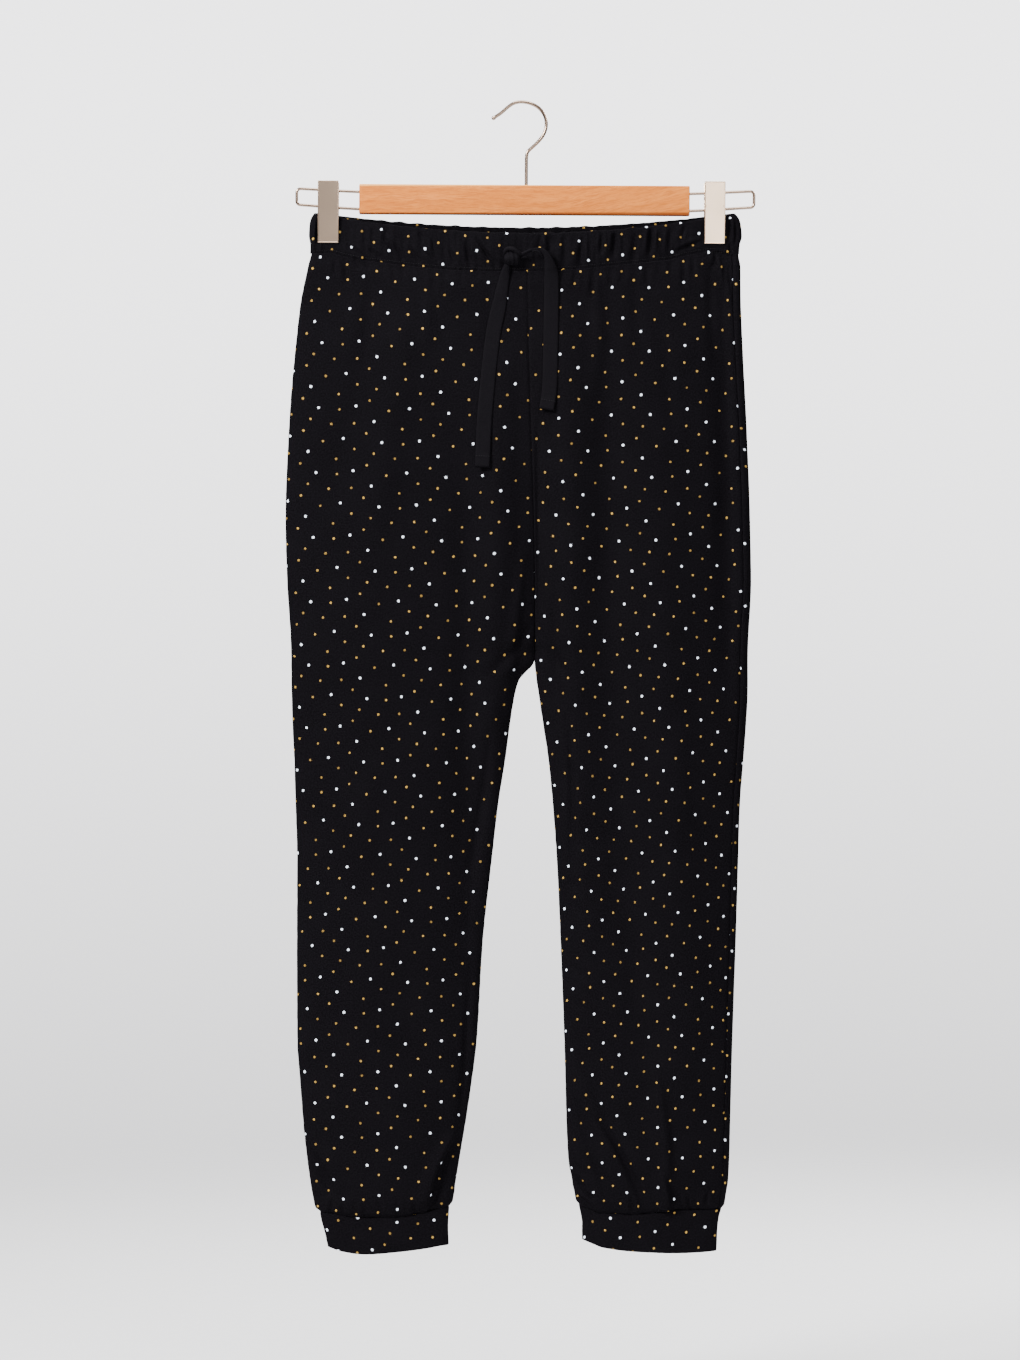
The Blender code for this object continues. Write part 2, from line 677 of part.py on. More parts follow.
def rail_route(outward: float) -> list[tuple[float, float]]:
    """A wire loop out of the bar's end and back into it."""
    start, turn = rail_span(outward)
    entry = BAR_CENTRE_X + outward * (BAR_LENGTH / 2 - RAIL_INSERT)
    out = [(entry, RAIL_TOP.bar_z), (start, RAIL_TOP.bar_z)]
    back = [(start, RAIL_BOTTOM.bar_z), (entry, RAIL_BOTTOM.bar_z)]
    side = 90.0 - outward * 90.0
    upper = arc((turn, RAIL_TOP.turn_z - RAIL_CORNER), RAIL_CORNER, 90.0, side, 4)
    lower = arc((turn, RAIL_BOTTOM.turn_z + RAIL_CORNER), RAIL_CORNER, side, side - outward * 90.0, 4)
    return out + upper + lower + back


def lug_span(centre_x: float) -> tuple[float, float]:
    """Lowest and highest Z of a clip's lugs, which fit between the rail's two runs."""
    clear = RAIL_WIRE / 2 + SEAM_GAP
    to_edge = math.copysign(CLIP_WIDTH / 2, centre_x)
    return rail_z(RAIL_BOTTOM, centre_x + to_edge) + clear, rail_z(RAIL_TOP, centre_x - to_edge) - clear


def box(name: str, size: Vector, centre: Vector, finish: bpy.types.Material, target: bpy.types.Collection,
        parent: Optional[bpy.types.Object] = None) -> bpy.types.Object:
    """A block with its sizes in its mesh, placed by its location."""
    mesh = bmesh.new()
    bmesh.ops.create_cube(mesh, size=1.0)
    bmesh.ops.scale(mesh, vec=size, verts=mesh.verts)
    made = add_mesh(name, mesh, finish, target, parent)
    made.location = centre * MM
    return made


def rod(name: str, radius: float, length: float, centre: Vector, axis: str, finish: bpy.types.Material,
        target: bpy.types.Collection, parent: bpy.types.Object) -> bpy.types.Object:
    """A cylinder along X or Z."""
    mesh = bmesh.new()
    bmesh.ops.create_cone(mesh, cap_ends=True, segments=16, radius1=radius, radius2=radius, depth=length)
    made = add_mesh(name, mesh, finish, target, parent)
    made.location = centre * MM
    if axis == "X":
        made.rotation_euler = (0.0, math.pi / 2, 0.0)
    return made


def as_guide(guide: bpy.types.Object) -> bpy.types.Object:
    """Keep a shape that only cuts or joins out of the model."""
    guide.hide_render = True
    guide.display_type = "WIRE"
    return guide


def combine(target: bpy.types.Object, operation: str, other: bpy.types.Object) -> None:
    """Cut or join a shape with a guide."""
    modifier = target.modifiers.new(operation.title(), "BOOLEAN")
    modifier.operation = operation
    modifier.solver = "EXACT"
    modifier.object = as_guide(other)


def bevel(target: bpy.types.Object, width: float, segments: int) -> None:
    """Ease the edges."""
    modifier = target.modifiers.new("Eased edges", "BEVEL")
    modifier.width = width * MM
    modifier.segments = segments
    modifier.limit_method = "ANGLE"


def hanger_bar(finish: bpy.types.Material, target: bpy.types.Collection, guides: bpy.types.Collection,
               parent: bpy.types.Object) -> None:
    """Wooden bar, drilled for the hook and for both rails."""
    centre = Vector((BAR_CENTRE_X, 0.0, BAR_CENTRE_Z))
    bar = box("hanger_bar", Vector((BAR_LENGTH, BAR_THICKNESS, BAR_HEIGHT)), centre, finish, target, parent)
    bevel(bar, BAR_EDGE, 2)
    bore = RAIL_WIRE / 2 + SEAM_GAP
    depth = RAIL_INSERT + SEAM_GAP
    for end in (-1.0, 1.0):
        for z in (RAIL_TOP.bar_z, RAIL_BOTTOM.bar_z):
            mouth = Vector((BAR_CENTRE_X + end * BAR_LENGTH / 2, 0.0, z))
            combine(bar, "DIFFERENCE", rod("rail_bore", bore, 2 * depth, mouth, "X", finish, guides, parent))
    mouth = Vector((HOOK_STEM_X, 0.0, BAR_CENTRE_Z + BAR_HEIGHT / 2))
    combine(bar, "DIFFERENCE", rod("stem_bore", HOOK_WIRE / 2 + SEAM_GAP, 2 * (STEM_DEPTH + SEAM_GAP), mouth,
                                   "Z", finish, guides, parent))


def clip_plate(name: str, centre_x: float, face: str, finish: bpy.types.Material,
               target: bpy.types.Collection, guides: bpy.types.Collection, parent: bpy.types.Object) -> None:
    """Half of a clip: a flat plate that leans to its jaw, with two lugs round the pin."""
    outward = -1.0 if face == "front" else 1.0
    jaw_y = HALF_GAP + BAND_WALL + SEAM_GAP
    lean = math.atan2(PLATE_TOP_Y - jaw_y, CLIP_HEIGHT)
    lug_bottom, lug_top = lug_span(centre_x)
    pivot_z = (lug_bottom + lug_top) / 2
    middle_y = (PLATE_TOP_Y + jaw_y) / 2 + PLATE_THICKNESS / 2
    centre = Vector((centre_x, outward * middle_y, CLIP_TOP_Z - CLIP_HEIGHT / 2))
    plate = box(name, Vector((CLIP_WIDTH, PLATE_THICKNESS, CLIP_HEIGHT)), centre, finish, target, parent)
    plate.rotation_euler = (outward * -lean, 0.0, 0.0)
    bevel(plate, PLATE_EDGE, 1)
    plate_y = middle_y + math.tan(lean) * (pivot_z - centre.z)
    reach = plate_y + LUG_REACH
    lug_x = OUTER_LUG_X if face == "front" else INNER_LUG_X
    for end in (-1.0, 1.0):
        place = Vector((centre_x + end * lug_x, outward * (plate_y - reach / 2), pivot_z))
        lug = box("lug", Vector((LUG_THICKNESS, reach, lug_top - lug_bottom)), place, finish, guides, parent)
        combine(plate, "UNION", lug)
    bore = rod("pin_bore", PIN_RADIUS + SEAM_GAP, CLIP_WIDTH + 4.0, Vector((centre_x, 0.0, pivot_z)), "X",
               finish, guides, parent)
    combine(plate, "DIFFERENCE", bore)


def clip_spring(name: str, centre_x: float, finish: bpy.types.Material, target: bpy.types.Collection,
                parent: bpy.types.Object) -> None:
    """Pin with its closed spring, turned about the pin's axis."""
    profile = ((-PIN_LENGTH / 2, 0.0), (-PIN_LENGTH / 2, PIN_RADIUS), (-SPRING_LENGTH / 2, PIN_RADIUS),
               (-SPRING_LENGTH / 2, SPRING_RADIUS), (SPRING_LENGTH / 2, SPRING_RADIUS),
               (SPRING_LENGTH / 2, PIN_RADIUS), (PIN_LENGTH / 2, PIN_RADIUS), (PIN_LENGTH / 2, 0.0))
    mesh = bmesh.new()
    line = [mesh.verts.new((x, radius, 0.0)) for x, radius in profile]
    edges = [mesh.edges.new(pair) for pair in zip(line, line[1:])]
    bmesh.ops.spin(mesh, geom=line + edges, axis=(1.0, 0.0, 0.0), cent=(0.0, 0.0, 0.0),
                   angle=2 * math.pi, steps=14, use_merge=True)
    bmesh.ops.remove_doubles(mesh, verts=mesh.verts, dist=0.01)
    spring = add_mesh(name, mesh, finish, target, parent)
    spring.location = Vector((centre_x, 0.0, sum(lug_span(centre_x)) / 2)) * MM


def build_garment(target: bpy.types.Collection) -> None:
    """Cut pieces of the pyjama bottoms and the drawstring's free ends."""
    cloth: Callable[[str], bpy.types.Material] = lambda name: material(name, CLOTH_COLOUR, 0.85)
    tape: Callable[[str], bpy.types.Material] = lambda name: material(name, TAPE_COLOUR, 0.9)
    for face in ("front", "back"):
        add_mesh(f"waistband_{face}", waistband(face), cloth(f"waistband_{face}"), target)
        for side in ("right", "left"):
            name = f"{face}_panel_{side}"
            add_mesh(name, leg_panel(side, face), cloth(name), target)
    for side in ("right", "left"):
        add_mesh(f"cuff_{side}", cuff(side), cloth(f"cuff_{side}"), target)
    add_mesh("drawstring_knot", knot(), tape("drawstring_knot"), target)
    add_mesh("drawstring_end_right", tape_end(RIGHT_END_ROUTE), tape("drawstring_end_right"), target)
    add_mesh("drawstring_end_left", tape_end(LEFT_END_ROUTE), tape("drawstring_end_left"), target)


def build_hanger(target: bpy.types.Collection, guides: bpy.types.Collection) -> None:
    """Bar, hook, wire rails and both clips, tilted as one."""
    tilt = bpy.data.objects.new("hanger_tilt", None)
    tilt.rotation_euler = (0.0, HANGER_TILT, 0.0)
    target.objects.link(tilt)
    hanger_bar(material("hanger_bar", WOOD_COLOUR, 0.5), target, guides, tilt)
    wire("hanger_hook", hook_route(), HOOK_WIRE, material("hanger_hook", WIRE_COLOUR, 0.3, 1.0), target, tilt)
    for side, outward in (("right", -1.0), ("left", 1.0)):
        name = f"rail_{side}"
        wire(name, rail_route(outward), RAIL_WIRE, material(name, WIRE_COLOUR, 0.3, 1.0), target, tilt)
    for side, centre_x in (("right", CLIP_RIGHT_X), ("left", CLIP_LEFT_X)):
        for face in ("front", "back"):
            name = f"clip_{side}_{face}_plate"
            clip_plate(name, centre_x, face, material(name, PLATE_COLOUR, 0.35, 1.0), target, guides, tilt)
        name = f"clip_{side}_spring"
        clip_spring(name, centre_x, material(name, WIRE_COLOUR, 0.3, 1.0), target, tilt)


def main() -> None:
    """Clear the scene and build the garment on its hanger."""
    for item in list(bpy.data.objects):
        bpy.data.objects.remove(item, do_unlink=True)
    model = collection("pyjama_bottoms_on_clip_hanger")
    guides = collection("guides")
    build_garment(model)
    build_hanger(model, guides)


main()
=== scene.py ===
"""Looks of knit pyjama bottoms that hang from a wooden hanger by two flat clips on wire rails.

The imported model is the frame. Tables and sizes are millimetres in the frame's axes: X runs to the viewer's
right, the front faces -Y and Z is up. A drop is the distance below the crown of the hook. Right and left in
the names are the wearer's own, so the wearer's right leg is on the viewer's left.
"""
import logging
import math
from dataclasses import dataclass
from enum import Enum
from functools import lru_cache
from typing import NamedTuple, Optional, Sequence, Union

import bmesh
import bpy
import numpy as np
from mathutils import Matrix, Vector, noise


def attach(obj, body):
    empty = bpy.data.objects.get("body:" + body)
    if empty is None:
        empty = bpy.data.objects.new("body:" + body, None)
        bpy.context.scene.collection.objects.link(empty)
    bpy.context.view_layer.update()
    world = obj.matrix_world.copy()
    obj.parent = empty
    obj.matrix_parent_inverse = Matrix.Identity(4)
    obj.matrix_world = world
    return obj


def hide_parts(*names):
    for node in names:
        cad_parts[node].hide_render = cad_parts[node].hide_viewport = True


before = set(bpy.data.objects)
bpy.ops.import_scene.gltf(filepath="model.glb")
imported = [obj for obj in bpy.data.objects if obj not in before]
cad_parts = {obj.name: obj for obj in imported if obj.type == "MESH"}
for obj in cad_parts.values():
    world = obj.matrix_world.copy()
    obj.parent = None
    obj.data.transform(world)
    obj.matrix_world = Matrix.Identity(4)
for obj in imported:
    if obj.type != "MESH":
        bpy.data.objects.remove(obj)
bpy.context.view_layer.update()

LOG = logging.getLogger("pyjama_bottoms")
MM = 0.001
BODY = "root"
CHART_LAYER = "Chart"
WELD = 1e-6
Array = np.ndarray
Number = Union[float, Array]


class Face(Enum):
    """Front or back of the garment."""
    FRONT = "front"
    BACK = "back"

    @property
    def outward(self) -> float:
        """Sign of Y that points out of this face."""
        return -1.0 if self is Face.FRONT else 1.0

    @property
    def other(self) -> "Face":
        """The opposite face."""
        return Face.BACK if self is Face.FRONT else Face.FRONT


class Side(Enum):
    """The wearer's right or left."""
    RIGHT = "right"
    LEFT = "left"

    @property
    def inward(self) -> float:
        """Sign of X that points to the garment's middle."""
        return 1.0 if self is Side.RIGHT else -1.0


class Shape(Enum):
    """How a crease stands across its line."""
    SOFT = "soft"
    LIPPED = "lipped"
    STEP = "step"


class Outline(NamedTuple):
    """Width of both legs at one drop, seen from the front."""
    drop: float
    right_outer: float
    right_inner: float
    left_inner: float
    left_outer: float


class Depth(NamedTuple):
    """How far front and back stand from the side seams' plane, mid leg and at the rise seam."""
    drop: float
    front: float
    front_rise: float
    back: float
    back_rise: float


class Fold(NamedTuple):
    """One broad fold, a ridge where height is above zero: a line from a top to a bottom point."""
    face: Face
    top_x: float
    top_drop: float
    end_x: float
    end_drop: float
    width: float
    height: float


class Crease(NamedTuple):
    """One fine crease, raised where height is above zero, bowed sideways by its bend."""
    face: Face
    top_x: float
    top_drop: float
    end_x: float
    end_drop: float
    width: float
    height: float
    shape: Shape = Shape.SOFT
    bend: float = 0.0


class BandEdge(NamedTuple):
    """Edge of the waistband at one part of its height, from top (0) to bottom (1)."""
    part: float
    right_x: float
    left_x: float


class SeamPoint(NamedTuple):
    """A place on the stitched seam between waistband and legs, on the front."""
    x: float
    drop: float


class Drape(NamedTuple):
    """How far the hanging cloth has slipped from the flat lay of its print, at one drop."""
    drop: float
    outer: float
    inner: float
    outer_drop: float
    inner_drop: float


class CuffRow(NamedTuple):
    """Cuff outline at one part of its height, from seam (0) to hem (1)."""
    part: float
    right_outer: float
    right_inner: float
    left_inner: float
    left_outer: float
    depth: float


class CuffEdge(NamedTuple):
    """Drop of a cuff's seam and front hem at one place across it, outer (0) to inner (1)."""
    part: float
    right_seam: float
    right_hem: float
    left_seam: float
    left_hem: float


class Stop(NamedTuple):
    """A place that a tape runs through, with how far it stands off the cloth there."""
    x: float
    drop: float
    width: float
    off: float = 0.0
    turn: float = 0.0
    cup: float = 0.0


# Legs: their rows run from LEG_TOP to LEG_END, and near both ends they bend to the waistband and the cuff
CROTCH_DROP = 537.7
LEG_TOP = 150.0
LEG_END = 1080.0
TOP_FADE = 95.0
SEAM_FADE = 45.0
FOLD_EDGE_FADE = 12.0
LEAST_RISE = 0.7
BACK_HEM_LIFT = 2.5

# Soft folded edges: how square their section is, and how wide the waistband's side folds are
EDGE_ROUNDING = 2.3
SIDE_ROUNDING = 4.5

# Waistband: its span between the clips, the sag of its upper edge, its bow and its gathers
BAND_MIDDLE_X = 1.5
BAND_HALF_SPAN = 178.5
FRONT_TOP_DROP = 127.2
FRONT_TOP_SAG = 15.6
BACK_TOP_DROP = 119.9
BACK_TOP_SAG = 10.2
BACK_STITCH_RISE = 4.0
FRONT_BOW = 10.5
BACK_BOW = 8.5
BAND_WALL = 3.0
BAND_FULLNESS = 0.8
GATHER_HEIGHT = 0.6

# Creases: their relief, the lips beside a pressed one and the slope of a stepped one, in its widths
CREASE_RELIEF = 2.25
LIP_PLACE = 1.9
LIP_DEPTH = 0.32
STEP_SLOPE = 0.7
STEP_REACH = 3.2

OUTLINES = (
    Outline(150, -208.4, 3, 3, 208.6),
    Outline(165, -211, 3, 3, 209.4),
    Outline(192, -217, 3.5, 3.5, 209.5),
    Outline(231, -222, 4, 4, 211.2),
    Outline(309, -228.6, 6, 6, 215.2),
    Outline(406, -232.4, 9, 9, 218.8),
    Outline(465, -230.8, 9.8, 9.8, 219.8),
    Outline(523, -227.2, 10, 10, 217),
    Outline(CROTCH_DROP, -226.8, 10, 10, 216.6),
    Outline(546, -226.7, 8, 10.6, 216.5),
    Outline(554, -226.6, 0.5, 11.4, 216.5),
    Outline(562, -226.6, -6, 12.4, 216.5),
    Outline(578, -226.2, -10.4, 14.8, 216.2),
    Outline(601, -225.6, -14.2, 18.2, 215),
    Outline(640, -223.8, -19.4, 24, 212.2),
    Outline(680, -222.6, -25.8, 28, 209.1),
    Outline(738, -221, -32.6, 32.2, 207.1),
    Outline(816, -221.2, -41.2, 35.8, 204.8),
    Outline(913, -220.8, -47.2, 39.5, 201.5),
    Outline(952, -218, -52, 40.6, 200.4),
    Outline(991, -215, -57.8, 41.6, 199.4),
    Outline(1030, -211, -64.4, 43.6, 198.4),
    Outline(1050, -208.2, -67.4, 47, 197.4),
    Outline(1066, -205.4, -69.2, 49.2, 195.2),
    Outline(1075, -203.4, -70.4, 50.4, 193.9),
    Outline(LEG_END, -200, -72, 52.6, 192.4),
)

DEPTHS = (
    Depth(150, 10, 13, 9, 11),
    Depth(192, 13, 13, 12.5, 12),
    Depth(231, 15.5, 14.5, 15, 14),
    Depth(309, 17.5, 15, 19, 16),
    Depth(406, 18.5, 12.5, 20.5, 14.5),
    Depth(465, 19.5, 9, 20.5, 11),
    Depth(523, 20, 4, 19.5, 5),
    Depth(CROTCH_DROP, 20, 0, 19, 0),
    Depth(601, 19.5, 0, 18.5, 0),
    Depth(738, 18, 0, 17.5, 0),
    Depth(913, 20, 0, 18.5, 0),
    Depth(1030, 21, 0, 20, 0),
    Depth(1066, 18.5, 0, 17.5, 0),
    Depth(LEG_END, 13.2, 0, 13, 0),
)

# Short names for the two tables below
F, B = Face.FRONT, Face.BACK
SOFT, LIPPED, STEP = Shape

FOLDS = (
    Fold(F, -24, 235, -30, 655, 19, 5.4),
    Fold(F, 44, 190, 47, 720, 17, 5),
    Fold(F, 78, 150, 86, 680, 15, -4.2),
    Fold(F, 78, 560, 126, 1020, 18, -5),
    Fold(F, 48, 620, 62, 900, 12, 2.6),
    Fold(F, 124, 180, 162, 1060, 24, 4.4),
    Fold(F, 194, 110, 199, 620, 13, -5.5),
    Fold(F, 131, 205, 146, 335, 7, -1.2),
    Fold(F, 66, 160, 82, 270, 6, 1.2),
    Fold(F, -56, 290, -53, 900, 17, -5.2),
    Fold(F, -104, 150, -152, 460, 16, 2.6),
    Fold(F, -136, 150, -192, 420, 14, -1.6),
    Fold(F, -72, 1044, -118, 1096, 6, -1.4),
    Fold(F, -203, 1000, -178, 1080, 9, -1.6),
    Fold(F, 47, 900, 122, 1096, 8, -3.6),
    Fold(F, 42, 950, 90, 1092, 6, -2.4),
    Fold(F, 128, 930, 139, 1090, 9, 2.1),
    Fold(B, 20, 360, 22, 560, 14, 2),
    Fold(B, -8, 400, -20, 640, 14, -1.6),
    Fold(B, -165, 165, -175, 320, 11, -2),
    Fold(B, -60, 170, -75, 420, 15, 1.4),
    Fold(B, 100, 170, 112, 430, 15, 1.4),
    Fold(B, -150, 560, -130, 900, 15, -1.4),
    Fold(B, 130, 600, 118, 940, 15, -1.5),
    Fold(B, -180, 1000, -150, 1082, 10, -2.4),
    Fold(B, -100, 960, -112, 1082, 11, 2),
    Fold(B, 165, 990, 140, 1082, 10, -2.4),
    Fold(B, 84, 1000, 96, 1082, 10, 1.8),
)

CREASES = (
    # Gathers of the front waistband
    Crease(F, -174, 138, -156.5, 149.7, 1.8, -0.7, LIPPED),
    Crease(F, -152.6, 140.9, -139.9, 151.6, 1.8, -0.8, LIPPED),
    Crease(F, -148, 120, -143.5, 142, 2.8, -0.6, LIPPED),
    Crease(F, -138, 129.2, -125.3, 154.5, 2.2, -0.9, LIPPED, 1),
    Crease(F, -129.2, 133, -117.5, 154.5, 1.9, -0.8, LIPPED),
    Crease(F, -135, 118.5, -134, 133, 1.8, -0.5),
    Crease(F, -112.6, 139, -100.9, 156.5, 2, -0.8, LIPPED, -1),
    Crease(F, -103.8, 124.3, -98, 136, 1.8, -0.5),
    Crease(F, -99.9, 146.7, -89.2, 156.5, 1.6, 0.6),
    Crease(F, -96, 144.8, -82.4, 156.5, 1.8, -0.8),
    Crease(F, -90, 131, -86.3, 152, 1.9, -0.9, LIPPED),
    Crease(F, -73.6, 142.8, -67.8, 158.4, 1.9, -0.8, LIPPED, 1),
    Crease(F, -57, 134, -51, 161, 2.4, -0.9, LIPPED, -1),
    Crease(F, -50, 133, -30, 160, 1.8, 0.7, SOFT, -1),
    Crease(F, -44, 131, -20, 158, 2, 0.9, SOFT, -2),
    Crease(F, -47.5, 131, -26, 161, 1.5, -1.1, SOFT, -1.5),
    Crease(F, 15.1, 128, 14.2, 146, 2.4, -0.8, LIPPED),
    Crease(F, 37.5, 126, 38.6, 164, 3, -1.1, LIPPED, 0.8),
    Crease(F, 56.1, 131, 54.8, 163, 2.8, -1.3, LIPPED, -0.8),
    Crease(F, 75.6, 126, 74, 150, 2.2, -0.8, LIPPED),
    Crease(F, 87.5, 121, 86, 152, 2.6, -1.3, LIPPED, 0.6),
    Crease(F, 107.7, 126, 106, 156, 2.8, -0.6, LIPPED, 1),
    Crease(F, 123.4, 116, 122, 150, 2.4, -1.3, LIPPED),
    Crease(F, 128.6, 119, 127.6, 147, 1.9, 0.8),
    Crease(F, 142.9, 119, 141, 146, 2.4, -0.6, LIPPED),
    Crease(F, 173, 135, 143.8, 146.7, 2, -0.9, SOFT, -1),
    Crease(F, 173, 131.6, 146, 142.6, 1.9, 0.6, SOFT, -1),
    Crease(F, 156.5, 118, 153, 134, 2, -0.6, LIPPED),
    Crease(F, 198.4, 108, 199.4, 136, 1.5, -0.9, SOFT, 0.6),
    Crease(F, 202.2, 108, 203, 136, 1.5, 0.7, SOFT, 0.6),
    Crease(F, 205.4, 112, 206.2, 140, 1.1, -0.5),
    Crease(F, 199.8, 134, 201, 150, 1.3, -0.8),
    Crease(F, -200.8, 112, -202, 140, 1.5, -0.8, SOFT, -0.6),
    Crease(F, -204.2, 112, -205.4, 142, 1.3, 0.6),
    Crease(F, -197.4, 124, -198.6, 148, 1.2, 0.5),
    Crease(F, 19, 130, 24.4, 145, 2.2, 1, STEP),
    # Small pulls at and just below the row of stitches
    Crease(F, -166, 150, -160, 162, 1.8, -0.8),
    Crease(F, -158, 149, -151, 163, 1.8, -0.8),
    Crease(F, -128.2, 156, -125.8, 178, 2, -0.8, LIPPED),
    Crease(F, -119.5, 158, -118, 172, 1.6, -0.6, LIPPED),
    Crease(F, -99, 160, -98.2, 175, 1.6, -0.6, LIPPED),
    Crease(F, -89.2, 160, -88, 188, 2, -0.9, LIPPED),
    Crease(F, -79, 161, -78, 173, 1.6, -0.7, LIPPED),
    Crease(F, -62, 161, -61, 180, 1.8, -0.7, LIPPED),
    Crease(F, -47, 161, -46.5, 173, 1.6, -0.6, LIPPED),
    Crease(F, 49.2, 161, 48.6, 181, 1.8, -0.8, LIPPED),
    Crease(F, 66.8, 160, 66, 192, 2.4, -1, LIPPED),
    Crease(F, 83.4, 160, 83.8, 180, 1.8, -0.9, LIPPED),
    Crease(F, 96, 158, 95.4, 176, 1.8, -0.8, LIPPED),
    Crease(F, 108, 158, 108.4, 170, 1.6, -0.6, LIPPED),
    Crease(F, 119.4, 156, 119, 178, 1.8, -0.9, LIPPED),
    Crease(F, 131, 155, 131.6, 168, 1.6, -0.6, LIPPED),
    Crease(F, 142, 154, 142.2, 169, 1.6, -0.7, LIPPED),
    Crease(F, 154.5, 152, 155.4, 182, 2, -1, LIPPED),
    Crease(F, 163.6, 149, 165, 168, 1.8, -0.9, LIPPED),
    Crease(F, 181.8, 145.5, 184, 157, 2, 0.9),
    Crease(F, 186.4, 144.5, 183, 163, 1.8, -0.8),
    Crease(F, 182, 148, 187, 262, 4.6, -0.7, SOFT, -3),
    Crease(F, 188.4, 146, 193, 180, 2, 1.1, SOFT, 0.6),
    Crease(F, 195.4, 164, 204, 206, 2, 1, SOFT, 0.8),
    Crease(F, 199.6, 147, 201, 190, 1.4, -0.7),
    Crease(F, -186, 152, -184, 168, 1.8, -0.6, LIPPED),
    Crease(F, -176, 151, -172, 178, 2.2, -0.8, LIPPED),
    # Hips and rise
    Crease(F, 70, 190, 67, 292, 7, 0.9, SOFT, 2),
    Crease(F, 106, 168, 112, 250, 6, -0.6),
    Crease(F, -150, 172, -156, 262, 7, -0.6),
    Crease(F, -92, 176, -96, 248, 6, 0.6),
    Crease(F, -34, 176, -37, 260, 6, -0.6),
    Crease(F, 13.5, 300, 16, 545, 5, -1.4, SOFT, -2),
    Crease(F, -2, 430, -22, 590, 6, 1.2, SOFT, 2.5),
    Crease(F, 30, 470, 34, 610, 6, -1.1, SOFT, -2),
    Crease(F, 9, 505, -40, 560, 4.4, -1, SOFT, 4),
    Crease(F, 13, 510, 52, 566, 4.4, -0.9, SOFT, -4),
    # Right leg
    Crease(F, -32.7, 604, -57, 768, 5, -1.1, SOFT, 3),
    Crease(F, -53.1, 835, -67.8, 1050, 4, -0.9, SOFT, 2),
    Crease(F, -150, 640, -158, 780, 13, 0.5),
    Crease(F, -110, 820, -120, 960, 12, -0.5),
    Crease(F, -207, 1012, -184, 1064, 4, -1.7, STEP, 2.5),
    Crease(F, -65.3, 1002, -95, 1083, 3, 2.3, STEP, -5),
    Crease(F, -80, 1058, -98, 1086, 2.2, -0.6),
    Crease(F, -186.7, 1066, -188.6, 1084, 2.4, -0.6, LIPPED),
    Crease(F, -176, 1070, -177, 1084, 1.8, -0.5, LIPPED),
    Crease(F, -164.3, 1066, -166, 1086, 2.6, -0.5, LIPPED),
    Crease(F, -154.5, 1070, -155.5, 1086, 2, -0.4, LIPPED),
    Crease(F, -142, 1062, -138, 1086, 2.6, -0.4, LIPPED),
    Crease(F, -124, 1064, -122, 1086, 2.2, -0.5, LIPPED),
    Crease(F, -108, 1068, -106.5, 1085, 2, -0.7, LIPPED),
    # Left leg
    Crease(F, 43.2, 590, 46.2, 770, 3.6, -1.3, SOFT, 1.5),
    Crease(F, 45.3, 778.5, 66, 793.5, 3, -0.9),
    Crease(F, 43, 758, 57, 764, 2.6, -0.7),
    Crease(F, 45.3, 838, 60, 852, 3, -0.9),
    Crease(F, 43.4, 872, 58, 881, 2.6, -0.7),
    Crease(F, 150, 620, 152, 800, 13, 0.5),
    Crease(F, 82, 700, 84, 880, 11, -0.5),
    Crease(F, 70, 985, 119.8, 1081.5, 3.2, -1.3, LIPPED, 4),
    Crease(F, 56.7, 1058, 68, 1067.5, 1.8, -1.1, LIPPED),
    Crease(F, 127.6, 1030, 134, 1078, 1.6, -0.8, SOFT, 1),
    Crease(F, 130, 1071, 138, 1080.5, 1.8, 0.9),
    Crease(F, 127.2, 932, 139, 1083, 5, 1.5, SOFT, 3),
    Crease(F, 134, 1040, 143, 1082, 2.4, 1.6, STEP, 2),
    Crease(F, 46, 1040, 60, 1060, 2.8, -1.4, LIPPED),
    Crease(F, 50, 1062, 68, 1078, 2.4, -1.2, LIPPED),
    Crease(F, 56, 1020, 92, 1068, 3, -0.8, SOFT, 3),
    Crease(F, 150, 1060, 152, 1078, 2.4, -0.6, LIPPED),
    Crease(F, 158, 1062, 162, 1080, 2, -0.6, LIPPED),
    Crease(F, 178, 1058, 176, 1075, 2, -0.7, LIPPED),
    Crease(F, 104, 1062, 105, 1081, 2, -0.8, LIPPED),
    # Waistband and hips of the back
    Crease(B, -170, 116, -166, 156, 3, -1.1, LIPPED, 1),
    Crease(B, -141, 118, -143, 158, 2.6, -1, LIPPED),
    Crease(B, -118, 122, -116, 162, 3.2, -1.4, LIPPED, -1),
    Crease(B, -97, 121, -98, 150, 2.4, -0.9, LIPPED),
    Crease(B, -76, 122, -72, 164, 3, -1.3, LIPPED, 1),
    Crease(B, -50, 124, -52, 160, 2.8, -1, LIPPED),
    Crease(B, -27, 123, -24, 166, 3, -1.4, LIPPED),
    Crease(B, -8, 126, -9, 158, 2.2, -0.8, LIPPED),
    Crease(B, 19, 124, 17, 163, 3, -1.2, LIPPED, -1),
    Crease(B, 41, 123, 44, 160, 2.6, -1, LIPPED),
    Crease(B, 69, 122, 66, 166, 3.2, -1.4, LIPPED),
    Crease(B, 90, 124, 91, 154, 2.4, -0.9, LIPPED),
    Crease(B, 116, 120, 113, 161, 3, -1.3, LIPPED, 1),
    Crease(B, 139, 119, 141, 158, 2.6, -1, LIPPED),
    Crease(B, 165, 116, 162, 155, 2.8, -1.1, LIPPED),
    Crease(B, -158, 155, -160, 186, 2.2, -0.9, LIPPED),
    Crease(B, -132, 156, -130, 176, 1.8, -0.8, LIPPED),
    Crease(B, -104, 157, -106, 196, 2.4, -1, LIPPED),
    Crease(B, -84, 158, -83, 176, 1.8, -0.7, LIPPED),
    Crease(B, -62, 158, -61, 186, 2.2, -0.9, LIPPED),
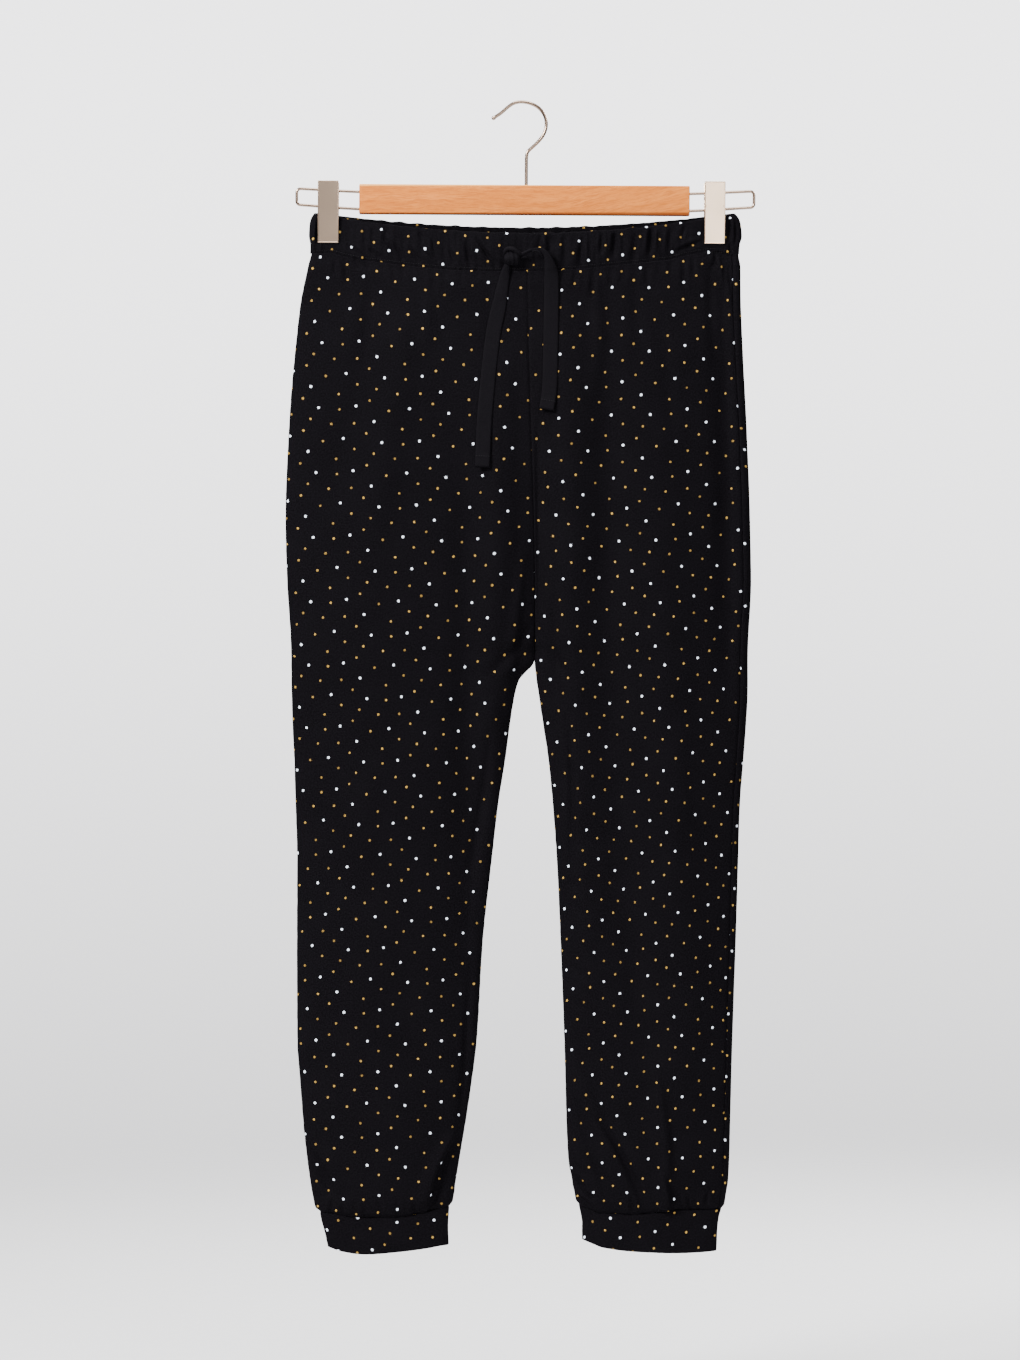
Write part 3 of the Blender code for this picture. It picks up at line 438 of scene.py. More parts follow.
    Crease(B, -38, 158, -39, 174, 1.8, -0.7, LIPPED),
    Crease(B, -14, 158, -12, 184, 2.2, -0.9, LIPPED),
    Crease(B, 27, 158, 28, 190, 2.2, -1, LIPPED),
    Crease(B, 53, 158, 52, 176, 1.8, -0.7, LIPPED),
    Crease(B, 79, 158, 80, 194, 2.4, -1, LIPPED),
    Crease(B, 102, 156, 101, 175, 1.8, -0.7, LIPPED),
    Crease(B, 126, 155, 128, 184, 2.2, -0.9, LIPPED),
    Crease(B, 152, 153, 150, 172, 1.8, -0.7, LIPPED),
    Crease(B, -182, 150, -190, 232, 4.2, -1.5, LIPPED, -3),
    Crease(B, 188, 150, 196, 226, 4, -1.3, LIPPED, 3),
    Crease(B, -40, 176, -50, 300, 7, 0.7),
    Crease(B, 60, 174, 66, 286, 7, -0.7),
    Crease(B, 8, 480, -48, 566, 5, -1.1, SOFT, 5),
    Crease(B, 14, 486, 62, 572, 5, -1.1, SOFT, -5),
    Crease(B, -24, 520, -40, 690, 6, 1, SOFT, 3),
    Crease(B, 34, 540, 44, 700, 6, 0.9, SOFT, -3),
    # Legs of the back
    Crease(B, -62, 740, -96, 772, 4, -0.9, SOFT, 2),
    Crease(B, -64, 800, -92, 822, 4, -0.8, SOFT, 2),
    Crease(B, 52, 756, 82, 782, 4, -0.9, SOFT, -2),
    Crease(B, 54, 838, 80, 856, 3.6, -0.7, SOFT, -2),
    Crease(B, -184, 1008, -158, 1080, 3.6, -1.8, LIPPED, 3),
    Crease(B, -96, 1010, -114, 1084, 3.2, 1.9, STEP, -3),
    Crease(B, -142, 1050, -140, 1086, 2.8, -1, LIPPED),
    Crease(B, -128, 1064, -127, 1086, 2.2, -0.8, LIPPED),
    Crease(B, -172, 1066, -173, 1084, 2.2, -0.8, LIPPED),
    Crease(B, 168, 1004, 142, 1078, 3.6, -1.8, LIPPED, -3),
    Crease(B, 80, 1022, 100, 1080, 3, 1.7, STEP, 3),
    Crease(B, 120, 1050, 121, 1082, 2.8, -1, LIPPED),
    Crease(B, 157, 1058, 158, 1078, 2.2, -0.8, LIPPED),
    Crease(B, 108, 1062, 109, 1081, 2, -0.8, LIPPED),
)

BAND_EDGES = (
    BandEdge(0.00, -205.4, 205.8),
    BandEdge(0.10, -207.8, 208.8),
    BandEdge(0.28, -209.6, 211),
    BandEdge(0.56, -210.2, 212),
    BandEdge(0.80, -208.8, 209.6),
    BandEdge(1.00, -209, 209.2),
)

BAND_SEAM = (
    SeamPoint(-209, 146.3),
    SeamPoint(-190, 145.7),
    SeamPoint(-175, 149),
    SeamPoint(-160, 152.5),
    SeamPoint(-141, 155),
    SeamPoint(-102, 159.8),
    SeamPoint(-63, 163.3),
    SeamPoint(-15, 164.6),
    SeamPoint(48, 162.4),
    SeamPoint(79, 159.2),
    SeamPoint(113, 155.6),
    SeamPoint(140, 152.5),
    SeamPoint(161, 147.4),
    SeamPoint(183, 144.3),
    SeamPoint(209, 147),
)

# How the print slips along each leg: a scratch program's fit to the photograph's dots, rounded
DRAPES = {
    Side.RIGHT: (
        Drape(170, 3, -7, -2, 1),
        Drape(220, 0, -4, -1, 1),
        Drape(300, -1.5, -1.5, 0, 2),
        Drape(370, -1, -2, 1, 1),
        Drape(470, 0, -8, 2, -1.5),
        Drape(620, 2, -20.5, -1, -0.5),
        Drape(745, -4.5, -21, -4, -3.5),
        Drape(845, -10, -22, -6, -8.5),
        Drape(920, -12.5, -19.5, -7, -13.5),
        Drape(995, -10.5, -15.5, -9, -17.5),
        Drape(1070, -5, -11.5, -12, -20),
    ),
    Side.LEFT: (
        Drape(170, -2, 8, 0, -4),
        Drape(220, -2, 5.5, 0.5, -2.5),
        Drape(300, 1.5, -1, 1, -1),
        Drape(345, 0, 0, 0.5, -0.5),
        Drape(445, -1.5, 10.5, -1.5, 1),
        Drape(545, 1.5, 19.5, -4, 2.5),
        Drape(695, 3.5, 32, -6.5, 1.5),
        Drape(820, 6, 38.5, -9.5, -1.5),
        Drape(895, 8, 36, -11, -3.5),
        Drape(995, 9, 27.5, -13, -8),
        Drape(1070, 5, 29, -13.5, -16),
    ),
}

CUFF_ROWS = (
    CuffRow(0.00, -199.6, -73.4, 52.9, 192, 12.8),
    CuffRow(0.20, -198.4, -74, 54.4, 189.6, 13.8),
    CuffRow(0.60, -194.8, -74.3, 56.2, 188, 14.2),
    CuffRow(1.00, -191.6, -73.8, 56.2, 187, 13),
)

CUFF_EDGES = (
    CuffEdge(0.00, 1080, 1114.6, 1077, 1118.4),
    CuffEdge(0.12, 1082, 1118.8, 1077.2, 1119.4),
    CuffEdge(0.30, 1085, 1121.2, 1077.5, 1120),
    CuffEdge(0.60, 1084.5, 1118.6, 1082, 1118.6),
    CuffEdge(0.85, 1079, 1115, 1081, 1114.8),
    CuffEdge(0.93, 1076.5, 1113.3, 1077, 1111),
    CuffEdge(1.00, 1074, 1112.5, 1072.5, 1107.5),
)


class Curve:
    """Smooth curve through a table's rows that never overshoots them."""

    def __init__(self, keys: Sequence[float], values: Sequence[float]) -> None:
        """Work out the curve's slopes.

        Args:
            keys: Places of the rows, rising.
            values: Values at those places.
        """
        self.keys = np.array(keys, dtype=float)
        self.values = np.array(values, dtype=float)
        slopes = np.diff(self.values) / np.diff(self.keys)
        before, after = slopes[:-1], slopes[1:]
        turning = before * after <= 0.0
        total = np.where(turning, 1.0, before + after)
        middle = np.where(turning, 0.0, 2.0 * before * after / total)
        self.tangents = np.concatenate((slopes[:1], middle, slopes[-1:]))

    def __call__(self, key: Number) -> Array:
        """Read the curve.

        Args:
            key: Places to read at. Past the ends, the end values hold.

        Returns:
            The values there.
        """
        key = np.clip(np.asarray(key, dtype=float), self.keys[0], self.keys[-1])
        low = np.clip(np.searchsorted(self.keys, key, side="right") - 1, 0, len(self.keys) - 2)
        span = self.keys[low + 1] - self.keys[low]
        part = (key - self.keys[low]) / span
        square, cube = part ** 2, part ** 3
        return ((2 * cube - 3 * square + 1) * self.values[low]
                + (cube - 2 * square + part) * span * self.tangents[low]
                + (3 * square - 2 * cube) * self.values[low + 1]
                + (cube - square) * span * self.tangents[low + 1])


@lru_cache(maxsize=None)
def curve(table: tuple, name: str) -> Curve:
    """Curve of one named column over a table's first column."""
    return Curve([row[0] for row in table], [getattr(row, name) for row in table])


def smoothstep(low: float, high: float, value: Number) -> Array:
    """Ease from 0 at low to 1 at high."""
    part = np.clip((value - low) / (high - low), 0.0, 1.0)
    return part * part * (3.0 - 2.0 * part)


def rounded(part: Number) -> Array:
    """Rise of a soft folded edge: upright at the fold (0), level at 1."""
    near = 1.0 - np.clip(part, 0.0, 1.0)
    return (1.0 - near ** EDGE_ROUNDING) ** (1.0 / EDGE_ROUNDING)


def bell(distance: Number, width: float) -> Array:
    """Soft bump: 1 at the line, near 0 at two widths."""
    return np.exp(-(distance / width) ** 2)


def drift(places: Array, seed: float, others: Number = 0.0) -> Array:
    """Smooth uneven values from -1 to 1.

    Args:
        places: First coordinate of each place, in units of the unevenness.
        seed: Picks one pattern.
        others: Second coordinate of each place.

    Returns:
        One value for each place.
    """
    first, second = np.broadcast_arrays(places, others)
    values = [noise.noise((u, v, seed)) for u, v in zip(first.flat, second.flat)]
    return np.array(values).reshape(first.shape)


def unit(vectors: Array) -> Array:
    """Vectors brought to length one."""
    return vectors / np.linalg.norm(vectors, axis=-1, keepdims=True)


def lengths_along(points: Array, axis: int) -> Array:
    """Distances along lines of points.

    Args:
        points: A line or a grid of points.
        axis: Which way its lines run.

    Returns:
        For each point, the distance from the first one of its line.
    """
    steps = np.linalg.norm(np.diff(points, axis=axis), axis=-1)
    start = np.zeros_like(np.take(steps, [0], axis=axis))
    return np.concatenate((start, np.cumsum(steps, axis=axis)), axis=axis)


def band_span(x: Number) -> Number:
    """Place between the clips, from -1 to 1."""
    return (x - BAND_MIDDLE_X) / BAND_HALF_SPAN


def band_top(x: Number, face: Face) -> Number:
    """Drop of the waistband's upper edge, which sags between the clips.

    Args:
        x: X of each place.
        face: Which face.

    Returns:
        The drop there.
    """
    if face is Face.FRONT:
        return FRONT_TOP_DROP - FRONT_TOP_SAG * band_span(x) ** 2
    return BACK_TOP_DROP - BACK_TOP_SAG * band_span(x) ** 2


def band_bottom(x: Number, face: Face) -> Number:
    """Drop of the waistband's stitched lower edge.

    Args:
        x: X of each place.
        face: Which face.

    Returns:
        The drop there.
    """
    front = curve(BAND_SEAM, "drop")(x)
    if face is Face.FRONT:
        return front
    return front - BACK_STITCH_RISE * np.maximum(0.0, 1.0 - band_span(x) ** 2)


def band_bow(x: Number, face: Face) -> Array:
    """How far the waistband stands out between the clips, which press front and back together."""
    free = np.maximum(0.0, 1.0 - band_span(x) ** 2)
    return (FRONT_BOW if face is Face.FRONT else BACK_BOW) * free ** 1.3


def gathers(x: Number, face: Face) -> Array:
    """Uneven soft gathers that the elastic draws along the waistband, a sum of three swaying waves.

    Args:
        x: X of each place.
        face: Which face.

    Returns:
        How far the cloth is raised there.
    """
    shift = 0.0 if face is Face.FRONT else 2.1
    wave = 0.62 * np.sin(x / 2.9 + 1.4 * np.sin(x / 27.0 + shift) + shift)
    wave += 0.38 * np.sin(x / 5.3 + 2.0 * shift + 0.8)
    wave += 0.34 * np.sin(x / 1.13 + 2.2 * np.sin(x / 11.0 + shift))
    return GATHER_HEIGHT * wave * smoothstep(1.0, 0.86, np.abs(band_span(x)))


def band_rise(x: Number, face: Face, part: Number) -> Array:
    """How far the waistband's outer surface stands from the side seams' plane.

    Args:
        x: X of each place.
        face: Which face.
        part: Part of the band's height, top (0) to bottom (1).

    Returns:
        The distance there.
    """
    fullness = np.sin(math.pi * np.clip(part, 0.0, 1.0))
    wave = gathers(x, face) * (0.45 + 0.55 * fullness)
    free = smoothstep(1.0, 0.9, np.abs(band_span(x)))
    return BAND_WALL + band_bow(x, face) + wave + BAND_FULLNESS * fullness * free


def fold_height(x: Array, drop: Array, face: Face) -> Array:
    """Sum of the broad folds of one face.

    Args:
        x: X of each place.
        drop: Drop of each place.
        face: Which face.

    Returns:
        How far each place is moved out.
    """
    total = np.zeros(np.broadcast(x, drop).shape)
    for fold in FOLDS:
        if fold.face is not face:
            continue
        part = (drop - fold.top_drop) / (fold.end_drop - fold.top_drop)
        line_x = fold.top_x + part * (fold.end_x - fold.top_x)
        fade = np.sin(math.pi * np.clip(part, 0.0, 1.0)) ** 0.8
        total = total + fold.height * bell(x - line_x, fold.width) * fade
    return total


def crease_height(x: Array, drop: Array, face: Face) -> Array:
    """Sum of the fine creases of one face.

    Args:
        x: X of each place.
        drop: Drop of each place.
        face: Which face.

    Returns:
        How far each place is raised along the surface's normal.
    """
    total = np.zeros(np.broadcast(x, drop).shape)
    for crease in CREASES:
        if crease.face is not face:
            continue
        run = np.array((crease.end_x - crease.top_x, crease.end_drop - crease.top_drop), dtype=float)
        length = float(np.hypot(*run))
        run /= length
        from_x, from_drop = x - crease.top_x, drop - crease.top_drop
        along = (from_x * run[0] + from_drop * run[1]) / length
        inside = np.clip(along, 0.0, 1.0)
        bow = crease.bend * np.sin(math.pi * inside)
        across = from_x * run[1] - from_drop * run[0] - bow
        fade = np.sin(math.pi * inside) ** 0.7 * (along == inside)
        width = crease.width * (0.75 + 0.5 * inside)
        section = bell(across, width)
        if crease.shape is Shape.LIPPED:
            section = section - LIP_DEPTH * bell(np.abs(across) - LIP_PLACE * width, width)
        elif crease.shape is Shape.STEP:
            section = -np.tanh(across / (STEP_SLOPE * width)) * bell(across, STEP_REACH * width)
        total = total + crease.height * fade * section
    return CREASE_RELIEF * total


class Place(NamedTuple):
    """How a leg's cloth lies on the print's chart, in millimetres."""
    x: float
    drop: float
    across: tuple[float, float]
    down: tuple[float, float]

    def chart(self, x: Array, drop: Array) -> Array:
        """Chart coordinates of places on the cloth.

        Args:
            x: X of each place.
            drop: Drop of each place.

        Returns:
            Pairs of coordinates, in millimetres of the flat cloth.
        """
        (a, c), (b, d) = self.across, self.down
        scale = 1.0 / (a * d - b * c)
        from_x, from_drop = x - self.x, drop - self.drop
        across = (d * from_x - b * from_drop) * scale
        down = (a * from_drop - c * from_x) * scale
        return np.stack((across, down), axis=-1)


# The front and waistband places are scratch programs' fits to the photograph's dots. The back's are made up.
PLACES = {
    (Side.RIGHT, Face.FRONT): Place(-123.3, 358.9, (0.999, 0.0374), (-0.0431, 1.0009)),
    (Side.LEFT, Face.FRONT): Place(137.25, 330.2, (0.9765, -0.0811), (0.0239, 0.9809)),
    (Side.RIGHT, Face.BACK): Place(-96.0, 341.0, (-1.0, -0.03), (0.02, 1.0)),
    (Side.LEFT, Face.BACK): Place(118.0, 372.0, (-1.0, 0.04), (-0.03, 1.0)),
}
BAND_PLACES = {
    Side.RIGHT: Place(-116.3, 108.4, (0.959, 0.036), (-0.034, 1.039)),
    Side.LEFT: Place(73.7, 119.0, (0.918, -0.069), (0.064, 0.978)),
}
CUFF_SHIFTS = {Side.RIGHT: (17.0, 24.0), Side.LEFT: (-12.0, 31.0)}


def spread(*stretches: tuple[float, float, float]) -> Array:
    """Values along joined stretches.

    Args:
        stretches: Start, end and step of each.

    Returns:
        The values, rising.
    """
    parts = [np.linspace(start, end, max(1, round((end - start) / step)), endpoint=False)
             for start, end, step in stretches]
    return np.concatenate(parts + [np.array([stretches[-1][1]])])


def grid_normals(points: Array) -> Array:
    """Unit normals of a grid of points."""
    normals = np.cross(np.gradient(points, axis=1), np.gradient(points, axis=0))
    return normals / np.maximum(np.linalg.norm(normals, axis=-1, keepdims=True), 1e-9)


def finished_mesh(name: str, mesh: bmesh.types.BMesh, finishes: Sequence[bpy.types.Material],
                  smooth: bool = True) -> bpy.types.Object:
    """Put a bmesh in metres into the scene.

    Args:
        name: Name of the piece.
        mesh: The mesh, which is freed.
        finishes: Its materials.
        smooth: Whether its faces are shaded smooth.

    Returns:
        The new object.
    """
    data = bpy.data.meshes.new(name)
    mesh.to_mesh(data)
    mesh.free()
    for finish in finishes:
        data.materials.append(finish)
    if smooth:
        data.shade_smooth()
    made = bpy.data.objects.new(name, data)
    bpy.context.scene.collection.objects.link(made)
    return made


def grid_mesh(points: Array, charts: Sequence[tuple[int, Array]] = (), closed: bool = False,
              outward: Optional[Vector] = None) -> bmesh.types.BMesh:
    """Move a flat grid's vertices onto a surface.

    Args:
        points: Rows by columns of places in millimetres.
        charts: For each stretch of columns, its first column and the chart coordinates of the whole grid.
        closed: Whether edges that meet are welded into one closed body.
        outward: For an open sheet, which way its faces look on the whole.

    Returns:
        The mesh, in metres.
    """
    rows, columns = points.shape[0] - 1, points.shape[1] - 1
    mesh = bmesh.new()
    bmesh.ops.create_grid(mesh, x_segments=columns, y_segments=rows, size=1.0)
    where = []
    for index, vert in enumerate(mesh.verts):
        row, column = round((vert.co.y + 1.0) / 2 * rows), round((vert.co.x + 1.0) / 2 * columns)
        where.append((row, column))
        vert.index = index
        vert.co = points[row, column] * MM
    if charts:
        layer = mesh.loops.layers.uv.new(CHART_LAYER)
        for face in mesh.faces:
            first = min(where[loop.vert.index][1] for loop in face.loops)
            chart = [values for start, values in charts if start <= first][-1]
            for loop in face.loops:
                loop[layer].uv = chart[where[loop.vert.index]]
    if closed:
        bmesh.ops.remove_doubles(mesh, verts=mesh.verts, dist=WELD)
        bmesh.ops.recalc_face_normals(mesh, faces=mesh.faces)
    elif outward is not None:
        mesh.normal_update()
        if sum(face.normal.dot(outward) for face in mesh.faces) < 0.0:
            bmesh.ops.reverse_faces(mesh, faces=mesh.faces)
    return mesh


def tube(line: Array, side: Array, out: Array, radii: Array, sides: int) -> bmesh.types.BMesh:
    """Closed tube round a line.

    Args:
        line: Points of its middle, in millimetres.
        side: At each point, a vector of length one that is square to the line.
        out: At each point, the vector of length one that is square to both.
        radii: Radius at each point.
        sides: How many sides it has.

    Returns:
        The mesh, in metres.
    """
    angles = np.linspace(0.0, 2.0 * math.pi, sides + 1)[None, :, None]
    ring = side[:, None, :] * np.cos(angles) + out[:, None, :] * np.sin(angles)
    return grid_mesh(line[:, None, :] + ring * radii[:, None, None], closed=True)


def box_mesh(size: Sequence[float]) -> bmesh.types.BMesh:
    """A box round the origin.

    Args:
        size: Its three sides.

    Returns:
        The mesh.
    """
    mesh = bmesh.new()
    bmesh.ops.create_cube(mesh, size=1.0)
    bmesh.ops.scale(mesh, vec=size, verts=mesh.verts)
    return mesh


def ease(mesh: bmesh.types.BMesh, edges: Sequence[bmesh.types.BMEdge], radius: float, segments: int) -> None:
    """Round some edges of a mesh."""
    bmesh.ops.bevel(mesh, geom=edges, offset=radius, offset_type="OFFSET", segments=segments, profile=0.5,
                    affect="EDGES", material=-1)


def join(mesh: bmesh.types.BMesh, other: bmesh.types.BMesh) -> None:
    """Add one mesh to another.

    Args:
        mesh: The mesh that grows.
        other: The mesh that is added and freed.
    """
    data = bpy.data.meshes.new("joined")
    other.to_mesh(data)
    other.free()
    mesh.from_mesh(data)
    bpy.data.meshes.remove(data)


def add_stitch(mesh: bmesh.types.BMesh, middle: Vector, run: Vector, half_sizes: tuple,
               fineness: int) -> None:
    """Add one stitch, a drawn-out bead of thread.

    Args:
        mesh: The mesh in metres that takes it.
        middle: Its middle, in millimetres.
        run: The way that it runs.
        half_sizes: Half its length, width and height, in millimetres.
        fineness: How often the bead's faces are divided.
    """
    turn = run.to_track_quat("X", "Z").to_matrix().to_4x4()
    matrix = Matrix.Scale(MM, 4) @ Matrix.Translation(middle) @ turn @ Matrix.Diagonal((*half_sizes, 1.0))
    bmesh.ops.create_icosphere(mesh, subdivisions=fineness, radius=1.0, matrix=matrix)


def dress(piece: bpy.types.Object, slot: str, *nodes: str) -> bpy.types.Object:
    """Let a piece stand for CAD nodes and ride on their body.

    Args:
        piece: The piece.
        slot: Not used.
        nodes: Names of the CAD nodes that it replaces.

    Returns:
        The piece.
    """
    if nodes:
        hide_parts(*nodes)
    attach(piece, BODY)
    LOG.info("%s: %d faces", piece.name, len(piece.data.polygons))
    return piece


class Nodes:
    """Adds and links the shader nodes of one material."""

    def __init__(self, name: str) -> None:
        """Make a material with a Principled shader."""
        self.material = bpy.data.materials.new(name)
        self.material.use_nodes = True
        self.tree = self.material.node_tree
        self.shader = self.tree.nodes["Principled BSDF"]

    def add(self, kind: str, inputs: dict, **settings: object) -> bpy.types.Node:
        """Add one node.

        Args:
            kind: Node type, without its ShaderNode prefix.
            inputs: Values or sockets for its inputs, by name or index.
            settings: Its other properties.

        Returns:
            The node.
        """
        node = self.tree.nodes.new("ShaderNode" + kind)
        for key, value in settings.items():
            setattr(node, key, value)
        for key, value in inputs.items():
            self.feed(node.inputs[key], value)
        return node

    def feed(self, socket: bpy.types.NodeSocket, value: object) -> None:
        """Link a socket to an input, or set the input's value.

        Args:
            socket: The input.
            value: Another node's socket, or the value.
        """
        if isinstance(value, bpy.types.NodeSocket):
            self.tree.links.new(value, socket)
        else:
            socket.default_value = value

    def math(self, operation: str, *values: object) -> bpy.types.NodeSocket:
        """Result of a math node."""
        return self.add("Math", dict(enumerate(values)), operation=operation).outputs[0]

    def vector(self, operation: str, *values: object) -> bpy.types.Node:
        """A vector math node."""
        return self.add("VectorMath", dict(enumerate(values)), operation=operation)

    def ramp(self, value: object, low: float, high: float, start: float = 0.0,
             end: float = 1.0) -> bpy.types.NodeSocket:
        """Smooth step, from a start at the low bound to an end at the high one."""
        inputs = {"Value": value, "From Min": low, "From Max": high, "To Min": start, "To Max": end}
        return self.add("MapRange", inputs, interpolation_type="SMOOTHSTEP").outputs["Result"]

    def mix(self, factor: object, first: object, second: object,
            blend: str = "MIX") -> bpy.types.NodeSocket:
        """Blend of two colours.

        Args:
            factor: Share of the second colour.
            first: The first colour.
            second: The second colour.
            blend: The way of blending.

        Returns:
            The blend's socket.
        """
        node = self.add("Mix", {}, data_type="RGBA", blend_type=blend)
        for socket, value in ((node.inputs[0], factor), (node.inputs[6], first), (node.inputs[7], second)):
            self.feed(socket, value)
        return node.outputs[2]

    def noise(self, vector: object, scale: float, detail: float = 2.0) -> bpy.types.NodeSocket:
        """Value of a noise texture."""
        node = self.add("TexNoise", {"Vector": vector, "Scale": scale, "Detail": detail})
        return node.outputs[0]

    def bump(self, height: object, strength: float, distance: float,
             normal: Optional[bpy.types.NodeSocket] = None) -> bpy.types.NodeSocket:
        """Normal of a bumped surface.

        Args:
            height: Its height.
            strength: How strongly it shows.
            distance: How far a height of one stands out, in metres.
            normal: The normal of the surface below, if that is bumped too.

        Returns:
            The normal's socket.
        """
        inputs = {"Height": height, "Strength": strength, "Distance": distance}
        if normal is not None:
            inputs["Normal"] = normal
        return self.add("Bump", inputs).outputs[0]

    def set(self, **values: object) -> None:
        """Set or link the shader's inputs, named with underscores for spaces."""
        for key, value in values.items():
            self.feed(self.shader.inputs[key.replace("_", " ")], value)

    def object_place(self) -> bpy.types.NodeSocket:
        """Object coordinates, in metres."""
        return self.add("TexCoord", {}).outputs["Object"]

    def chart_place(self) -> bpy.types.NodeSocket:
        """The piece's chart coordinates, in millimetres."""
        return self.add("UVMap", {}, uv_map=CHART_LAYER).outputs[0]


Colour = tuple[float, float, float, float]


@dataclass(frozen=True)
class Knit:
    """Plain jersey: rows of small loops, a soft bloom and slow unevenness of its dye."""
    colour: Colour = (0.0020, 0.0017, 0.0022, 1.0)
    worn_colour: Colour = (0.0045, 0.0040, 0.0051, 1.0)
    wale: float = 0.82
    course: float = 0.62
    gloss: float = 0.006
    roughness: float = 0.62
    dye_scale: float = 0.022
    grain_scale: float = 0.75
    loop_relief: float = 0.28
    grain_relief: float = 0.25

    def cloth(self, nodes: Nodes, chart: bpy.types.NodeSocket) -> tuple[object, object]:
        """Colour and normal of the bare cloth.

        Args:
            nodes: The material's nodes.
            chart: Chart coordinates in millimetres.

        Returns:
            The colour's and the normal's sockets.
        """
        axes = nodes.add("SeparateXYZ", {0: chart}).outputs
        wale = nodes.math("MULTIPLY", axes[0], math.pi / self.wale)
        rib = nodes.math("ABSOLUTE", nodes.math("SINE", wale))
        slant = nodes.math("MULTIPLY", rib, 0.5 * self.course)
        loop = nodes.math("ADD", axes[1], slant)
        stitch = nodes.math("SINE", nodes.math("MULTIPLY", loop, 2 * math.pi / self.course))
        loops = nodes.math("MULTIPLY_ADD", stitch, 0.22, rib)
        dye = nodes.noise(chart, self.dye_scale, 3.0)
        grain = nodes.noise(chart, self.grain_scale, 3.0)
        colour = nodes.mix(nodes.ramp(dye, 0.3, 0.75, 0.0, 0.3), self.colour, self.worn_colour)
        colour = nodes.mix(nodes.ramp(grain, 0.34, 0.68), colour, self.worn_colour)
        fine = nodes.bump(loops, self.loop_relief, 0.00025)
        return colour, nodes.bump(grain, self.grain_relief, 0.0004, fine)

    def plain(self, name: str) -> bpy.types.Material:
        """The cloth's unprinted inner side.

        Args:
            name: Name of the material.

        Returns:
            The material.
        """
        nodes = Nodes(name)
        colour, normal = self.cloth(nodes, nodes.chart_place())
        nodes.set(Base_Color=colour, Normal=normal, Roughness=self.roughness, Specular_IOR_Level=self.gloss)
        return nodes.material


@dataclass(frozen=True)
class DotPrint:
    """A small repeat of white and gold dots, each next column lower by half its height.

    The repeat's size and the dots' middles were fitted to the photograph by scratch programs, then rounded.
    """
    width: float = 63.7
    height: float = 62.4
    lift: float = 2.0
    white_radius: float = 1.32
    gold_radius: float = 1.16
    edge: float = 0.12
    wobble_scale: float = 0.62
    wobble: float = 0.6
    size_scale: float = 0.045
    size_change: float = 0.06
    white: Colour = (0.78, 0.84, 0.93, 1.0)
    gold: Colour = (0.25, 0.145, 0.030, 1.0)
    # Painted glint tone and painted shade tone of the gold glitter
    painted_glint_gold: Colour = (0.48, 0.30, 0.075, 1.0)
    painted_unlit_gold: Colour = (0.095, 0.058, 0.019, 1.0)
    whites: tuple = ((10.3, 2.8), (48.7, 5.5), (21.5, 33.6), (40.1, 47.9))
    golds: tuple = ((4.1, 22.8), (61.8, 20.6), (54.3, 37.3), (5.5, 37.4), (41.2, 16.6), (32.9, 59.6),
                    (34.8, 27.9), (21.8, 12.7), (20.4, 50.3))

    def cell(self, nodes: Nodes, chart: bpy.types.NodeSocket) -> bpy.types.NodeSocket:
        """Place within the repeat, in millimetres.

        Args:
            nodes: The material's nodes.
            chart: Chart coordinates, which a small wobble makes uneven.

        Returns:
            The place's socket.
        """
        uneven = {"Vector": chart, "Scale": self.wobble_scale, "Detail": 1.0}
        wobble = nodes.add("TexNoise", uneven).outputs["Color"]
        shift = nodes.vector("SCALE", nodes.vector("SUBTRACT", wobble, (0.5, 0.5, 0.5)).outputs[0])
        shift.inputs["Scale"].default_value = self.wobble
        axes = nodes.add("SeparateXYZ", {0: nodes.vector("ADD", chart, shift.outputs[0]).outputs[0]}).outputs
        column = nodes.math("FLOOR", nodes.math("DIVIDE", axes[0], self.width))
        across = nodes.math("SUBTRACT", axes[0], nodes.math("MULTIPLY", column, self.width))
        lowered = nodes.math("MULTIPLY_ADD", column, -self.height / 2, nodes.math("ADD", axes[1], self.lift))
        down = nodes.math("FLOORED_MODULO", lowered, self.height)
        return nodes.add("CombineXYZ", {0: across, 1: down, 2: 0.0}).outputs[0]

    def nearest(self, nodes: Nodes, cell: bpy.types.NodeSocket, centres: tuple) -> bpy.types.NodeSocket:
        """Distance to the nearest of several dots.

        Args:
            nodes: The material's nodes.
            cell: Place within the repeat.
            centres: The dots' middles.

        Returns:
            The distance's socket.
        """
        best = None
        for x, y in centres:
            distance = nodes.vector("DISTANCE", cell, (x, y, 0.0)).outputs["Value"]
            best = distance if best is None else nodes.math("MINIMUM", best, distance)
        return best

    def masks(self, nodes: Nodes, chart: bpy.types.NodeSocket) -> tuple[object, object]:
        """Where the white dots and where the gold dots are.

        Args:
            nodes: The material's nodes.
            chart: Chart coordinates in millimetres.

        Returns:
            The sockets of both masks.
        """
        cell = self.cell(nodes, chart)
        uneven = nodes.noise(chart, self.size_scale, 0.0)
        size = nodes.ramp(uneven, 0.3, 0.7, -self.size_change, self.size_change)
        found = []
        for centres, radius in ((self.whites, self.white_radius), (self.golds, self.gold_radius)):
            distance = nodes.math("ADD", self.nearest(nodes, cell, centres), size)
            found.append(nodes.ramp(distance, radius - self.edge, radius + self.edge, 1.0, 0.0))
        return found[0], found[1]


